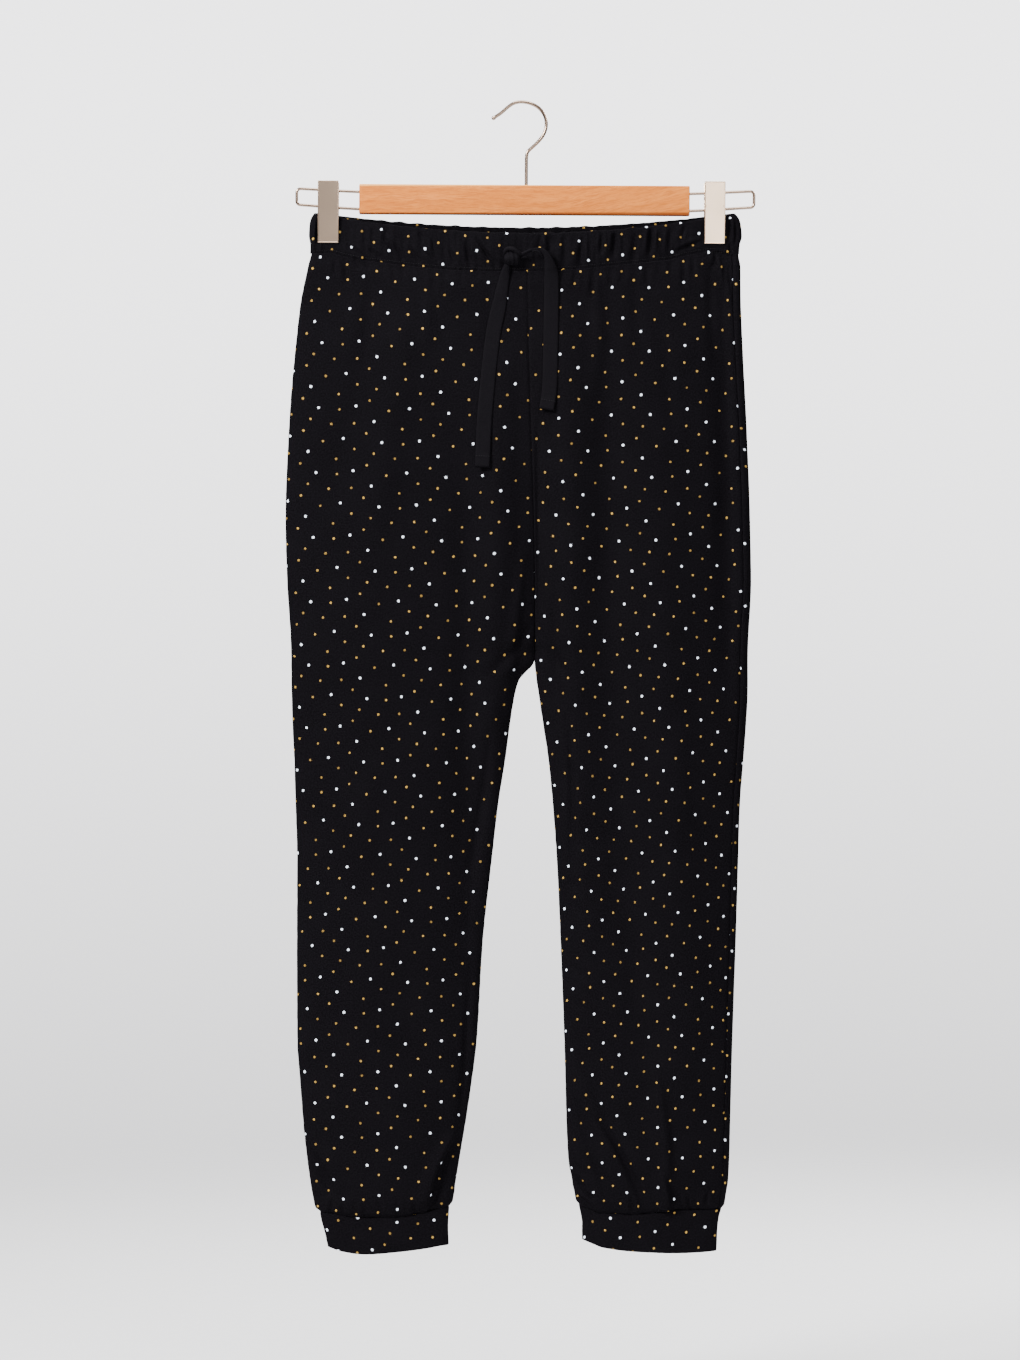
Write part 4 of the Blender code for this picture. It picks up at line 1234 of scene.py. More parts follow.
@dataclass(frozen=True)
class PrintedJersey:
    """Jersey with the dot print: flat white ink, and glue dots strewn with gold glitter with painted glints
    and shade.
    """
    knit: Knit = Knit()
    dots: DotPrint = DotPrint()
    glitter: float = 3.4
    catch_light_scale: float = 0.09
    ink_relief: float = 0.5
    gold_gloss: float = 0.15
    gold_metal: float = 0.3

    def material(self, name: str) -> bpy.types.Material:
        """The printed cloth.

        Args:
            name: Name of the material.

        Returns:
            The material.
        """
        nodes = Nodes(name)
        chart = nodes.chart_place()
        colour, normal = self.knit.cloth(nodes, chart)
        white, gold = self.dots.masks(nodes, chart)
        flakes = nodes.add("TexVoronoi", {"Vector": chart, "Scale": self.glitter}).outputs["Color"]
        spark = nodes.add("SeparateColor", {0: flakes}).outputs[0]
        # Painted glints light some flakes, and painted shade dims some whole gold dots
        painted_catch_light = nodes.ramp(nodes.noise(chart, self.catch_light_scale, 0.0), 0.32, 0.68, 0.45, 1.0)
        painted_glints = nodes.math("MULTIPLY", nodes.ramp(spark, 0.1, 0.9), painted_catch_light)
        metal = nodes.mix(painted_glints, self.dots.gold, self.dots.painted_glint_gold)
        metal = nodes.mix(nodes.math("SUBTRACT", 1.0, painted_catch_light), metal, self.dots.painted_unlit_gold)
        colour = nodes.mix(white, colour, self.dots.white)
        colour = nodes.mix(gold, colour, metal)
        flakes = nodes.math("MULTIPLY", gold, nodes.ramp(spark, 0.0, 1.0, 0.7, 1.3))
        raised = nodes.math("MAXIMUM", white, flakes)
        rough = nodes.math("SUBTRACT", self.knit.roughness, nodes.math("MULTIPLY", gold, self.gold_gloss))
        nodes.set(Base_Color=colour, Normal=nodes.bump(raised, self.ink_relief, 0.0002, normal),
                  Roughness=rough, Metallic=nodes.math("MULTIPLY", gold, self.gold_metal),
                  Specular_IOR_Level=self.knit.gloss)
        return nodes.material


@dataclass(frozen=True)
class KnitTape:
    """Flat knitted drawstring tape with fine ribs along it and firmer edges."""
    colour: Colour = (0.0030, 0.0026, 0.0034, 1.0)
    rib_colour: Colour = (0.0052, 0.0047, 0.0058, 1.0)
    rib: float = 1.05
    row: float = 0.9
    edge: tuple[float, float] = (6.2, 7.0)

    def material(self, name: str) -> bpy.types.Material:
        """The tape's finish.

        Args:
            name: Name of the material.

        Returns:
            The material.
        """
        nodes = Nodes(name)
        chart = nodes.chart_place()
        axes = nodes.add("SeparateXYZ", {0: chart}).outputs
        rib = nodes.math("ABSOLUTE", nodes.math("SINE", nodes.math("MULTIPLY", axes[0], math.pi / self.rib)))
        row = nodes.math("SINE", nodes.math("MULTIPLY", axes[1], 2 * math.pi / self.row))
        knit = nodes.math("MULTIPLY_ADD", row, 0.3, rib)
        fuzz = nodes.noise(chart, 1.3, 3.0)
        edge = nodes.ramp(nodes.math("ABSOLUTE", axes[0]), *self.edge)
        shade = nodes.ramp(nodes.math("MULTIPLY_ADD", fuzz, 0.8, nodes.math("MULTIPLY", rib, 0.3)), 0.3, 0.8)
        colour = nodes.mix(shade, self.colour, self.rib_colour)
        colour = nodes.mix(nodes.math("MULTIPLY", edge, 0.6), colour, self.rib_colour)
        height = nodes.math("ADD", knit, nodes.math("MULTIPLY", edge, 0.8))
        normal = nodes.bump(fuzz, 0.3, 0.0003, nodes.bump(height, 0.5, 0.0003))
        nodes.set(Base_Color=colour, Normal=normal, Roughness=0.7, Specular_IOR_Level=0.01)
        return nodes.material


@dataclass(frozen=True)
class Thread:
    """Dark sewing thread with a slight lustre."""
    colour: Colour = (0.0048, 0.0042, 0.0052, 1.0)
    lustre_colour: Colour = (0.0095, 0.0084, 0.0102, 1.0)

    def material(self, name: str) -> bpy.types.Material:
        """The thread's finish.

        Args:
            name: Name of the material.

        Returns:
            The material.
        """
        nodes = Nodes(name)
        place = nodes.object_place()
        twist = nodes.add("TexWave", {"Vector": place, "Scale": 900.0, "Distortion": 0.6},
                          bands_direction="DIAGONAL").outputs[1]
        shade = nodes.mix(twist, self.colour, self.lustre_colour)
        nodes.set(Base_Color=shade, Normal=nodes.bump(twist, 0.4, 0.0001), Roughness=0.6,
                  Specular_IOR_Level=0.08)
        return nodes.material


@dataclass(frozen=True)
class Beech:
    """Steamed beech: fine wavy grain that runs aslant at one end, short darker flecks, satin lacquer."""
    light: Colour = (0.56, 0.180, 0.031, 1.0)
    mid: Colour = (0.49, 0.145, 0.021, 1.0)
    dark: Colour = (0.34, 0.085, 0.011, 1.0)
    # Painted highlight: lighter wood along the bar's top edge
    painted_top_highlight: Colour = (0.80, 0.40, 0.12, 1.0)
    slant: float = 0.2
    slant_start: float = 0.03
    arris: float = 0.0015
    # Painted shade: darker wood along the bar's bottom edge
    painted_bottom_shade: Colour = (0.15, 0.03, 0.005, 1.0)

    def material(self, name: str, low_z: float, high_z: float) -> bpy.types.Material:
        """The wood's finish.

        Args:
            name: Name of the material.
            low_z: Height of the bar's lower edge, in metres.
            high_z: Height of its upper edge.

        Returns:
            The material.
        """
        nodes = Nodes(name)
        place = nodes.object_place()
        axes = nodes.add("SeparateXYZ", {0: place}).outputs
        past = nodes.math("MAXIMUM", nodes.math("SUBTRACT", axes[0], self.slant_start), 0.0)
        slide = nodes.math("MULTIPLY", past, -self.slant)
        waved = nodes.add("Mapping", {"Vector": place, "Scale": (75.0, 90.0, 90.0)}).outputs[0]
        bend = nodes.math("MULTIPLY", nodes.noise(waved, 1.0, 1.0), 0.0034)
        lift = nodes.math("ADD", nodes.math("ADD", slide, bend), axes[2])
        pushed = nodes.add("CombineXYZ", {0: axes[0], 1: axes[1], 2: lift}).outputs[0]
        found = []
        for scale, detail in (((9.0, 150.0, 150.0), 2.0), ((80.0, 1250.0, 1250.0), 2.0),
                              ((170.0, 2400.0, 2400.0), 1.0)):
            stretched = nodes.add("Mapping", {"Vector": pushed, "Scale": scale}).outputs[0]
            found.append(nodes.noise(stretched, 1.0, detail))
        band, grain, fleck = found
        colour = nodes.mix(nodes.ramp(band, 0.35, 0.65), self.light, self.mid)
        colour = nodes.mix(nodes.ramp(grain, 0.42, 0.7, 0.0, 0.6), colour, self.dark)
        colour = nodes.mix(nodes.ramp(fleck, 0.54, 0.7, 0.0, 0.55), colour, self.dark)
        # Painted highlight: the wood is lightened along its top edge
        pale = nodes.ramp(axes[2], high_z - self.arris, high_z - 0.3 * self.arris, 0.0, 0.7)
        colour = nodes.mix(pale, colour, self.painted_top_highlight)
        # Painted shade: the wood is darkened along its bottom edge
        shade = nodes.ramp(axes[2], low_z + 0.6 * self.arris, low_z + 1.8 * self.arris, 0.85, 0.0)
        colour = nodes.mix(shade, colour, self.painted_bottom_shade)
        normal = nodes.bump(nodes.math("ADD", grain, fleck), 0.12, 0.0003)
        nodes.set(Base_Color=colour, Normal=normal, Roughness=nodes.ramp(grain, 0.3, 0.7, 0.45, 0.6),
                  Specular_IOR_Level=0.05)
        return nodes.material


@dataclass(frozen=True)
class SatinNickel:
    """Brushed nickel plate: a warm grey metal with fine lines along one axis and dulled spots."""
    colour: Colour = (0.80, 0.60, 0.43, 1.0)
    roughness: float = 0.2
    stretch: tuple[float, float, float] = (2600.0, 2600.0, 24.0)
    line_shade: float = 0.88
    line_share: float = 0.18
    spot_scale: float = 45.0
    spot_dulling: float = 0.03

    def material(self, name: str) -> bpy.types.Material:
        """The metal's finish.

        Args:
            name: Name of the material.

        Returns:
            The material.
        """
        nodes = Nodes(name)
        place = nodes.object_place()
        lines = nodes.add("Mapping", {"Vector": place, "Scale": self.stretch}).outputs[0]
        brushed = nodes.noise(lines, 1.0, 3.0)
        dulled = nodes.ramp(nodes.noise(place, self.spot_scale, 2.0), 0.4, 0.75)
        rough = nodes.math("MULTIPLY_ADD", dulled, self.spot_dulling, self.roughness)
        darker = tuple(self.line_shade * part for part in self.colour[:3]) + (1.0,)
        colour = nodes.mix(nodes.ramp(brushed, 0.35, 0.75, 0.0, self.line_share), self.colour, darker)
        normal = nodes.bump(brushed, 0.004, 0.0001)
        nodes.set(Base_Color=colour, Normal=normal, Roughness=rough, Metallic=1.0)
        return nodes.material


@dataclass(frozen=True)
class StudioFloor:
    """Pale matt floor that melts into the surroundings at its rim."""
    colour: Colour = (0.74, 0.74, 0.745, 1.0)
    grain_colour: Colour = (0.70, 0.70, 0.705, 1.0)
    fade_start: float = 1.2
    fade_end: float = 3.4

    def material(self, name: str) -> bpy.types.Material:
        """The floor's finish.

        Args:
            name: Name of the material.

        Returns:
            The material.
        """
        nodes = Nodes(name)
        place = nodes.object_place()
        flat = nodes.vector("MULTIPLY", place, (1.0, 1.0, 0.0)).outputs[0]
        away = nodes.vector("LENGTH", flat).outputs["Value"]
        grain = nodes.noise(place, 60.0, 3.0)
        shade = nodes.mix(nodes.ramp(grain, 0.3, 0.7, 0.0, 0.3), self.colour, self.grain_colour)
        nodes.set(Base_Color=shade, Roughness=0.9, Specular_IOR_Level=0.1,
                  Alpha=nodes.ramp(away, self.fade_start, self.fade_end, 1.0, 0.0))
        return nodes.material


@dataclass
class Leg:
    """One leg's front or back, from the side seam to the inner seam or rise."""
    side: Side
    face: Face
    wrap: float = 0.0
    columns: int = 104
    usual_width: float = 205.0
    cloth: float = 1.0
    fullness: float = 1.2
    slow_ripple: float = 0.36
    slow_size: tuple[float, float] = (34.0, 120.0)
    quick_ripple: float = 0.18
    quick_size: tuple[float, float] = (11.0, 30.0)
    gather_share: float = 0.45
    gather_reach: float = 13.0
    seam_dip: float = 0.75
    seam_width: float = 1.5
    pucker: float = 0.32
    pucker_reach: float = 7.0
    side_pucker: float = 8.5
    inner_pucker: float = 7.0
    groove: float = 0.45
    groove_width: float = 1.6
    seam_join: float = 4.0

    @property
    def seed(self) -> float:
        """Picks this panel's own ripples."""
        return 3.0 + 2.0 * (self.side is Side.LEFT) + 1.0 * (self.face is Face.BACK)

    @property
    def seam_seed(self) -> float:
        """Picks the pucker of this leg's side seam. The inner seam's is 12 higher."""
        return 17.0 if self.side is Side.LEFT else 11.0

    def outline(self, drop: Number) -> tuple[Array, Array]:
        """X of the side fold and of the inner seam."""
        return (curve(OUTLINES, f"{self.side.value}_outer")(drop),
                curve(OUTLINES, f"{self.side.value}_inner")(drop))

    def depth(self, part: Array, x: Array, row_drop: Array, face: Face) -> Array:
        """Distance of one face from the side seams' plane.

        Args:
            part: Place across the leg, side fold (0) to inner seam (1).
            x: X there.
            row_drop: Drop of the row, before its bend to waistband and cuff.
            face: Which face.

        Returns:
            The distance, never below zero.
        """
        middle = curve(DEPTHS, face.value)(row_drop)
        rise = curve(DEPTHS, f"{face.value}_rise")(row_drop)
        body = rounded(part) * (rise + (middle - rise) * rounded(1.0 - part))
        edge = np.abs(x - self.outline(row_drop)[0]) / SIDE_ROUNDING
        held = rounded(edge) * (BAND_WALL + band_bow(x, face))
        free = smoothstep(LEG_TOP, LEG_TOP + TOP_FADE, row_drop)
        clear = np.minimum(1.0, FOLD_EDGE_FADE * part) * np.minimum(1.0, FOLD_EDGE_FADE * (1.0 - part))
        return np.maximum(0.0, held + free * (body - held) + fold_height(x, row_drop, face) * clear)

    def drop_at(self, part: Array, x: Array, row_drop: Array, face: Face) -> Array:
        """Bend rows to the waistband at the top and to the cuff seam at the bottom.

        Args:
            part: Place across the leg, side fold (0) to inner seam (1).
            x: X there.
            row_drop: Drop of the row before its bend.
            face: Which face.

        Returns:
            The drop of each place.
        """
        near_top = 1.0 - smoothstep(LEG_TOP, LEG_TOP + TOP_FADE, row_drop)
        near_seam = smoothstep(LEG_END - SEAM_FADE, LEG_END, row_drop)
        seam = curve(CUFF_EDGES, f"{self.side.value}_seam")(part)
        return row_drop + near_top * (band_bottom(x, face) - LEG_TOP) + near_seam * (seam - LEG_END)

    def surface(self, part: Array, row_drop: Array) -> Array:
        """Points of the undressed cloth.

        Args:
            part: Place across the leg. Below zero it lies on the other face.
            row_drop: Drop of each row before its bend.

        Returns:
            The points.
        """
        across = np.abs(part)
        start, end = self.outline(row_drop)
        x = start + across * (end - start)
        points = []
        for face in (self.face, self.face.other):
            y = face.outward * self.depth(across, x, row_drop, face)
            points.append(np.stack((x, y, -self.drop_at(across, x, row_drop, face)), axis=-1))
        return np.where((part >= 0.0)[..., None], points[0], points[1])

    def grid(self) -> tuple[Array, Array]:
        """Part and row drop of every vertex, the rows closest where the gathers and creases are."""
        turn = math.acos(1.0 - 2.0 * abs(self.wrap) / self.usual_width)
        start = math.copysign(turn, self.wrap) if self.wrap else 0.0
        angles = np.linspace(start, math.pi, self.columns + 1)
        parts = np.sign(angles) * (1.0 - np.cos(angles)) / 2
        rows = spread((LEG_TOP, 200.0, 1.25), (200.0, 320.0, 2.6), (320.0, 520.0, 4.0), (520.0, 600.0, 2.6),
                      (600.0, 980.0, 3.9), (980.0, 1040.0, 2.2), (1040.0, LEG_END, 1.1))
        return np.meshgrid(parts, rows)

    def heights(self, points: Array, from_side: Array, from_inner: Array) -> Array:
        """How far the creases, seams and slow ripples raise each point.

        Args:
            points: The undressed cloth.
            from_side: Distance along the cloth from the side seam.
            from_inner: Distance along the cloth from the inner seam.

        Returns:
            Heights along the normals.
        """
        x, drop = points[..., 0], -points[..., 2]
        seam = np.minimum(from_side, from_inner)
        near_seam = bell(seam, self.pucker_reach)
        from_band = np.maximum(0.0, drop - band_bottom(x, self.face))
        from_cuff = drop[-1] - drop
        total = crease_height(x, drop, self.face) * (1.0 - bell(seam, 2.0 * self.seam_width))
        total += self.gather_share * gathers(x, self.face) * np.exp(-from_band / self.gather_reach)
        slow = drift(x / self.slow_size[0], self.seed, drop / self.slow_size[1])
        quick = drift(x / self.quick_size[0], self.seed + 5.0, drop / self.quick_size[1])
        total += (self.slow_ripple * slow + self.quick_ripple * quick) * (1.0 - near_seam)
        side_wave = drift(drop / self.side_pucker, self.seam_seed)
        inner_wave = drift(drop / self.inner_pucker, self.seam_seed + 12.0)
        total += self.pucker * np.where(from_inner < from_side, inner_wave, side_wave) * near_seam
        total += self.fullness * smoothstep(0.0, 14.0, from_band) * smoothstep(0.0, 5.0, from_cuff)
        total -= self.seam_dip * bell(seam, self.seam_width)
        return total - self.groove * bell(from_cuff, self.groove_width)

    def outward_normals(self, points: Array, from_inner: Array, row_drop: Array) -> Array:
        """Normals of the undressed cloth, turned level along the rise, where both legs' panels meet.

        Args:
            points: The undressed cloth.
            from_inner: Distance along the cloth from the inner seam.
            row_drop: Drop of each row before its bend.

        Returns:
            Normals that point out of the panel's face.
        """
        normals = grid_normals(points)
        middle = normals[len(normals) // 2, normals.shape[1] // 2]
        normals *= np.sign(middle[1]) * self.face.outward
        rise = smoothstep(CROTCH_DROP + 4.0, CROTCH_DROP - 8.0, row_drop)
        joined = (bell(from_inner, self.seam_join) * rise)[..., None]
        return normals * (1.0 - joined) + np.array((0.0, self.face.outward, 0.0)) * joined

    def chart(self, points: Array) -> tuple[Array, float, float]:
        """Lay the print on the cloth and measure the cut.

        Args:
            points: The undressed cloth.

        Returns:
            Chart coordinates of the grid, with the flat width and area of the cut in millimetres.
        """
        along = lengths_along(points[..., :2], 1)
        middle = points.shape[1] // 2
        flip = np.sign(points[0, -1, 0] - points[0, 0, 0])
        x = points[:, middle:middle + 1, 0] + flip * (along - along[:, middle:middle + 1])
        drop = -points[..., 2]
        start, end = self.outline(drop)
        part = (x - start) / (end - start)
        slips = []
        for kind in ("", "_drop"):
            outer, inner = (curve(DRAPES[self.side], name + kind)(drop) for name in ("outer", "inner"))
            slips.append((1.0 - part) * outer + part * inner)
        chart = PLACES[self.side, self.face].chart(x - slips[0], drop - slips[1])
        widths = along[:, -1]
        area = ((widths[:-1] + widths[1:]) / 2 * np.diff(drop[:, middle])).sum()
        return chart, float(widths.max()), float(area)

    def build(self, finishes: Sequence[bpy.types.Material], hung_from: str) -> bpy.types.Object:
        """Make the panel and dress it.

        Args:
            finishes: Outer and inner finish.
            hung_from: Not used.

        Returns:
            The panel.
        """
        part, row_drop = self.grid()
        points = self.surface(part, row_drop)
        from_side = lengths_along(points, 1)
        from_inner = from_side[:, -1:] - from_side
        heights = self.heights(points, from_side, from_inner)
        dressed = points + self.outward_normals(points, from_inner, row_drop) * heights[..., None]
        out = self.face.outward
        least = LEAST_RISE * smoothstep(0.0, 0.06, part) * smoothstep(1.0, 0.94, part)
        sunk = (part >= 0.0) & (out * dressed[..., 1] < least)
        dressed[..., 1] = np.where(sunk, out * least, dressed[..., 1])
        chart, width, area = self.chart(points)
        mesh = grid_mesh(dressed, [(0, chart)], outward=Vector((0.0, out, 0.0)))
        piece = finished_mesh(f"leg_{self.face.value}_{self.side.value}", mesh, finishes)
        wall = piece.modifiers.new("Cloth", "SOLIDIFY")
        wall.thickness = self.cloth * MM
        wall.offset = -1.0
        wall.material_offset = 1
        dress(piece, "jersey", f"{self.face.value}_panel_{self.side.value}")
        return piece


@dataclass
class Casing:
    """Front or back of the waistband: jersey turned over the elastic and caught with twin stitches."""
    face: Face
    cut: tuple[float, float] = (0.52, 0.043)
    print_split_x: float = 3.0
    columns: int = 640
    side_columns: int = 9
    outer_rows: int = 18
    seam_rows: int = 9
    seam_part: float = 0.87
    inner_rows: int = 8
    fold_rows: int = 5
    bumps: float = 0.35
    bump_size: tuple[float, float] = (6.0, 3.0)
    tightness: float = 0.35
    edge_wave: float = 1.1
    edge_wave_size: float = 9.0
    ladder: float = 0.28
    ladder_part: float = 0.975
    ladder_width: float = 0.045
    stitch: float = 1.9
    stitch_gap: float = 0.45
    stitch_ends: tuple[float, float] = (-203.5, 203.0)
    stitch_stagger: float = 0.9
    first_row: float = 0.7
    rows_apart: float = 3.2
    usual_height: float = 35.0
    thread: float = 0.46
    thread_lift: float = 0.12

    def places(self, part: float) -> tuple[Array, Array]:
        """Spread the columns along one part of the height.

        Args:
            part: The part, top (0) to bottom (1).

        Returns:
            X and turn (0 at the side fold, 1 past it) of each column.
        """
        right, left = (float(curve(BAND_EDGES, name)(part)) for name in ("right_x", "left_x"))
        turns = np.radians(np.linspace(0.0, 90.0, self.side_columns + 1))
        inside = right + SIDE_ROUNDING * (1.0 - np.cos(turns))
        outside = left - SIDE_ROUNDING * (1.0 - np.cos(turns[::-1]))
        middle = np.linspace(inside[-1], outside[0], self.columns - 2 * self.side_columns + 1)[1:-1]
        x = np.concatenate((inside, middle, outside))
        turn = np.concatenate((np.sin(turns), np.ones(len(middle)), np.sin(turns[::-1])))
        return x, turn

    def top_wave(self, x: Array) -> Array:
        """Small uneven rises along the folded top edge."""
        wave = drift(x / self.edge_wave_size, 51.0 + self.face.outward)
        return self.edge_wave * wave * smoothstep(1.0, 0.9, np.abs(band_span(x)))

    def height(self, x: Array, turn: Array, part: float, drop: Array) -> Array:
        """Distance of the outer surface from the side seams' plane.

        Args:
            x: X of each place.
            turn: Turn of each place at the side fold.
            part: Part of the height.
            drop: Drop of each place.

        Returns:
            The distance, never below zero.
        """
        creases = crease_height(x, drop, self.face) * smoothstep(0.0, 0.16, part)
        full = band_rise(x, self.face, part) + creases
        bumps = drift(x / self.bump_size[0], 41.0 + self.face.outward, part * self.bump_size[1])
        tight = self.tightness * smoothstep(0.86, 0.97, part)
        rungs = np.cos(2.0 * math.pi * x / (self.stitch + self.stitch_gap))
        rungs = self.ladder * rungs * bell(part - self.ladder_part, self.ladder_width)
        return np.maximum(0.0, (full + self.bumps * bumps - tight + rungs) * turn)

    def row(self, part: float) -> tuple[Array, Array, Array, Array]:
        """X, turn, drop and height of each column at one part of the height.

        Args:
            part: The part, top (0) to bottom (1).

        Returns:
            The four, each with one value for each column.
        """
        x, turn = self.places(part)
        top = band_top(x, self.face) + BAND_WALL / 2 + self.top_wave(x)
        drop = (1.0 - part) * top + part * band_bottom(x, self.face)
        return x, turn, drop, self.height(x, turn, part, drop)

    def ring(self) -> Array:
        """Points round the folded cloth: up the outside, over the top and down the inside."""
        rows = []
        for part in np.concatenate((np.linspace(1.0, self.seam_part, self.seam_rows + 1),
                                    np.linspace(self.seam_part, 0.0, self.outer_rows + 1)[1:])):
            x, turn, drop, height = self.row(part)
            rows.append(np.stack((x, self.face.outward * height, -drop), axis=-1))
        first = rows[-1]
        wall = np.minimum(BAND_WALL * turn ** 0.5, np.abs(first[:, 1]))
        for angle in np.linspace(0.0, math.pi, self.fold_rows + 2)[1:]:
            y = first[:, 1] - self.face.outward * (1.0 - math.cos(angle)) / 2 * wall
            rows.append(np.stack((x, y, first[:, 2] + wall / 2 * math.sin(angle)), axis=-1))
        for part in np.linspace(0.0, 1.0, self.inner_rows + 1)[1:]:
            x, turn, drop, height = self.row(part)
            inner = np.maximum(0.0, height - BAND_WALL * turn ** 0.5)
            rows.append(np.stack((x, self.face.outward * inner, -drop), axis=-1))
        rows.append(rows[0])
        return np.array(rows)

    def chart(self, points: Array, side: Side) -> Array:
        """Chart coordinates that carry on the print of the leg below.

        Args:
            points: The ring's points.
            side: Which leg.

        Returns:
            The coordinates of the whole ring.
        """
        lay = BAND_PLACES[side] if self.face is Face.FRONT else PLACES[side, self.face]
        return lay.chart(points[..., 0], -points[0, :, 2] - lengths_along(points, 0))

    def build(self, finish: bpy.types.Material, thread: bpy.types.Material) -> bpy.types.Object:
        """Make the casing and its stitches.

        Args:
            finish: Finish of the cloth.
            thread: Finish of the stitches.

        Returns:
            The casing.
        """
        points = self.ring()
        split = int(np.searchsorted(points[0, :, 0], self.print_split_x))
        charts = [(0, self.chart(points, Side.RIGHT)), (split, self.chart(points, Side.LEFT))]
        mesh = grid_mesh(points, charts, closed=True)
        piece = finished_mesh(f"casing_{self.face.value}", mesh, [finish])
        dress(piece, "jersey", f"waistband_{self.face.value}")
        stitches = self.stitches(thread)
        return piece

    def seam_place(self, x: float, below: float) -> Vector:
        """A place just off the cloth, some way below the casing's lower edge.

        Args:
            x: X of the place.
            below: How far below, or above where it is less than zero.

        Returns:
            The place, in millimetres.
        """
        drop = float(band_bottom(x, self.face)) + below
        part = min(1.0, 1.0 + below / self.usual_height)
        turned = np.interp(np.array([x]), *self.places(part))
        rise = float(self.height(np.array([x]), turned, part, np.array([drop]))[0])
        return Vector((x, self.face.outward * (rise + self.thread_lift), -drop))

    def stitches(self, finish: bpy.types.Material) -> bpy.types.Object:
        """Twin rows of stitches along the casing's lower edge.

        Args:
            finish: Finish of the thread.

        Returns:
            The stitches, as one piece.
        """
        mesh = bmesh.new()
        for index, below in enumerate((self.first_row, self.first_row - self.rows_apart)):
            x = self.stitch_ends[0] + self.stitch_stagger * index
            while x < self.stitch_ends[1]:
                near, far = self.seam_place(x, below), self.seam_place(x + self.stitch, below)
                half_sizes = ((far - near).length / 2, self.thread / 2, self.thread / 2)
                add_stitch(mesh, (near + far) / 2, far - near, half_sizes, 1)
                x += self.stitch + self.stitch_gap
        return dress(finished_mesh(f"casing_stitches_{self.face.value}", mesh, [finish]), "jersey")


@dataclass
class AnkleCuff:
    """A doubled band of the jersey, sewn to the leg as a ring."""
    side: Side
    cut_height: float = 0.037
    wall: float = 2.0
    columns: int = 200
    outer_rows: int = 20
    fold_rows: int = 5
    inner_rows: int = 8
    ripple: float = 0.5
    pull: float = 0.5
    pull_reach: float = 9.0
    groove: float = 0.45
    groove_width: float = 1.6

    def skin(self, height: float, in_by: float) -> Array:
        """Points round the cuff at one height.

        Args:
            height: Part of its height, seam (0) to hem (1).
            in_by: How far in from its outer surface.

        Returns:
            The points.
        """
        angles = np.linspace(0.0, 2.0 * math.pi, self.columns + 1)
        part = (1.0 - np.cos(angles)) / 2
        face = np.where(angles < math.pi, -1.0, 1.0)
        start = float(curve(CUFF_ROWS, f"{self.side.value}_outer")(height)) + self.side.inward * in_by
        end = float(curve(CUFF_ROWS, f"{self.side.value}_inner")(height)) - self.side.inward * in_by
        depth = float(curve(CUFF_ROWS, "depth")(height)) - in_by
        seam = curve(CUFF_EDGES, f"{self.side.value}_seam")(part)
        lift = BACK_HEM_LIFT * np.sin(math.pi * part) * (face > 0.0)
        hem = curve(CUFF_EDGES, f"{self.side.value}_hem")(part) - lift
        x = start + part * (end - start)
        reach = depth * rounded(part) * rounded(1.0 - part)
        drop = seam + height * (hem - self.wall / 2 - seam)
        return np.stack((x, face * reach, -drop), axis=-1)

    def dressed(self, outer: Array) -> Array:
        """Raise the outer surface by its ripples, and sink it at the seam.

        Args:
            outer: Points of the plain surface.

        Returns:
            Points of the dressed surface.
        """
        normals = grid_normals(outer)
        towards = np.sign(((outer - outer.mean(axis=(0, 1))) * normals).sum(axis=-1, keepdims=True))
        normals *= np.where(towards == 0.0, 1.0, towards)
        x, drop = outer[..., 0], -outer[..., 2]
        from_seam = drop - drop[:1]
        turned = np.where(outer[..., 1] < 0.0, -1.0, 1.0)
        ripple = drift(x / 15.0 + 3.0 * turned, 61.0 + self.side.inward, drop / 16.0)
        pull = drift(x / 4.2 + 9.0 * turned, 71.0 + self.side.inward) * np.exp(-from_seam / self.pull_reach)
        heights = self.ripple * ripple + self.pull * pull - self.groove * bell(from_seam, self.groove_width)
        heights[:, -1] = heights[:, 0]
        return outer + normals * heights[..., None]

    def ring(self) -> Array:
        """Points round the doubled cloth: down the outside, under the hem and up the inside."""
        heights = np.linspace(0.0, 1.0, self.outer_rows + 1)
        outer = self.dressed(np.array([self.skin(height, 0.0) for height in heights]))
        heights = np.linspace(1.0, 0.0, self.inner_rows + 1)
        inner = np.array([self.skin(height, self.wall) for height in heights])
        under = []
        for angle in np.linspace(0.0, math.pi, self.fold_rows + 2)[1:-1]:
            point = outer[-1] + (inner[0] - outer[-1]) * (1.0 - math.cos(angle)) / 2
            point[:, 2] -= self.wall / 2 * math.sin(angle)
            under.append(point)
        return np.concatenate((outer, np.array(under), inner, outer[:1]))

    def chart(self, points: Array) -> tuple[Array, float]:
        """Lay the print from the front's middle and measure the cuff.

        Args:
            points: The ring's points.

        Returns:
            Chart coordinates, and the cuff's length round in millimetres.
        """
        along = lengths_along(points[0, :, :2], 0)
        quarter = len(along) // 4
        x = points[0, quarter, 0] + self.side.inward * (along - along[quarter])
        drop = -points[0, :, 2] + lengths_along(points, 0)
        shift_x, shift_drop = CUFF_SHIFTS[self.side]
        x_grid = np.broadcast_to(x, drop.shape)
        return PLACES[self.side, Face.FRONT].chart(x_grid + shift_x, drop + shift_drop), float(along[-1])

    def build(self, finish: bpy.types.Material) -> bpy.types.Object:
        """Make the cuff.

        Args:
            finish: Finish of the cloth.

        Returns:
            The cuff.
        """
        points = self.ring()
        chart, round_length = self.chart(points)
        mesh = grid_mesh(points, [(0, chart)], closed=True)
        piece = finished_mesh(f"ankle_cuff_{self.side.value}", mesh, [finish])
        dress(piece, "jersey", f"cuff_{self.side.value}")
        return piece


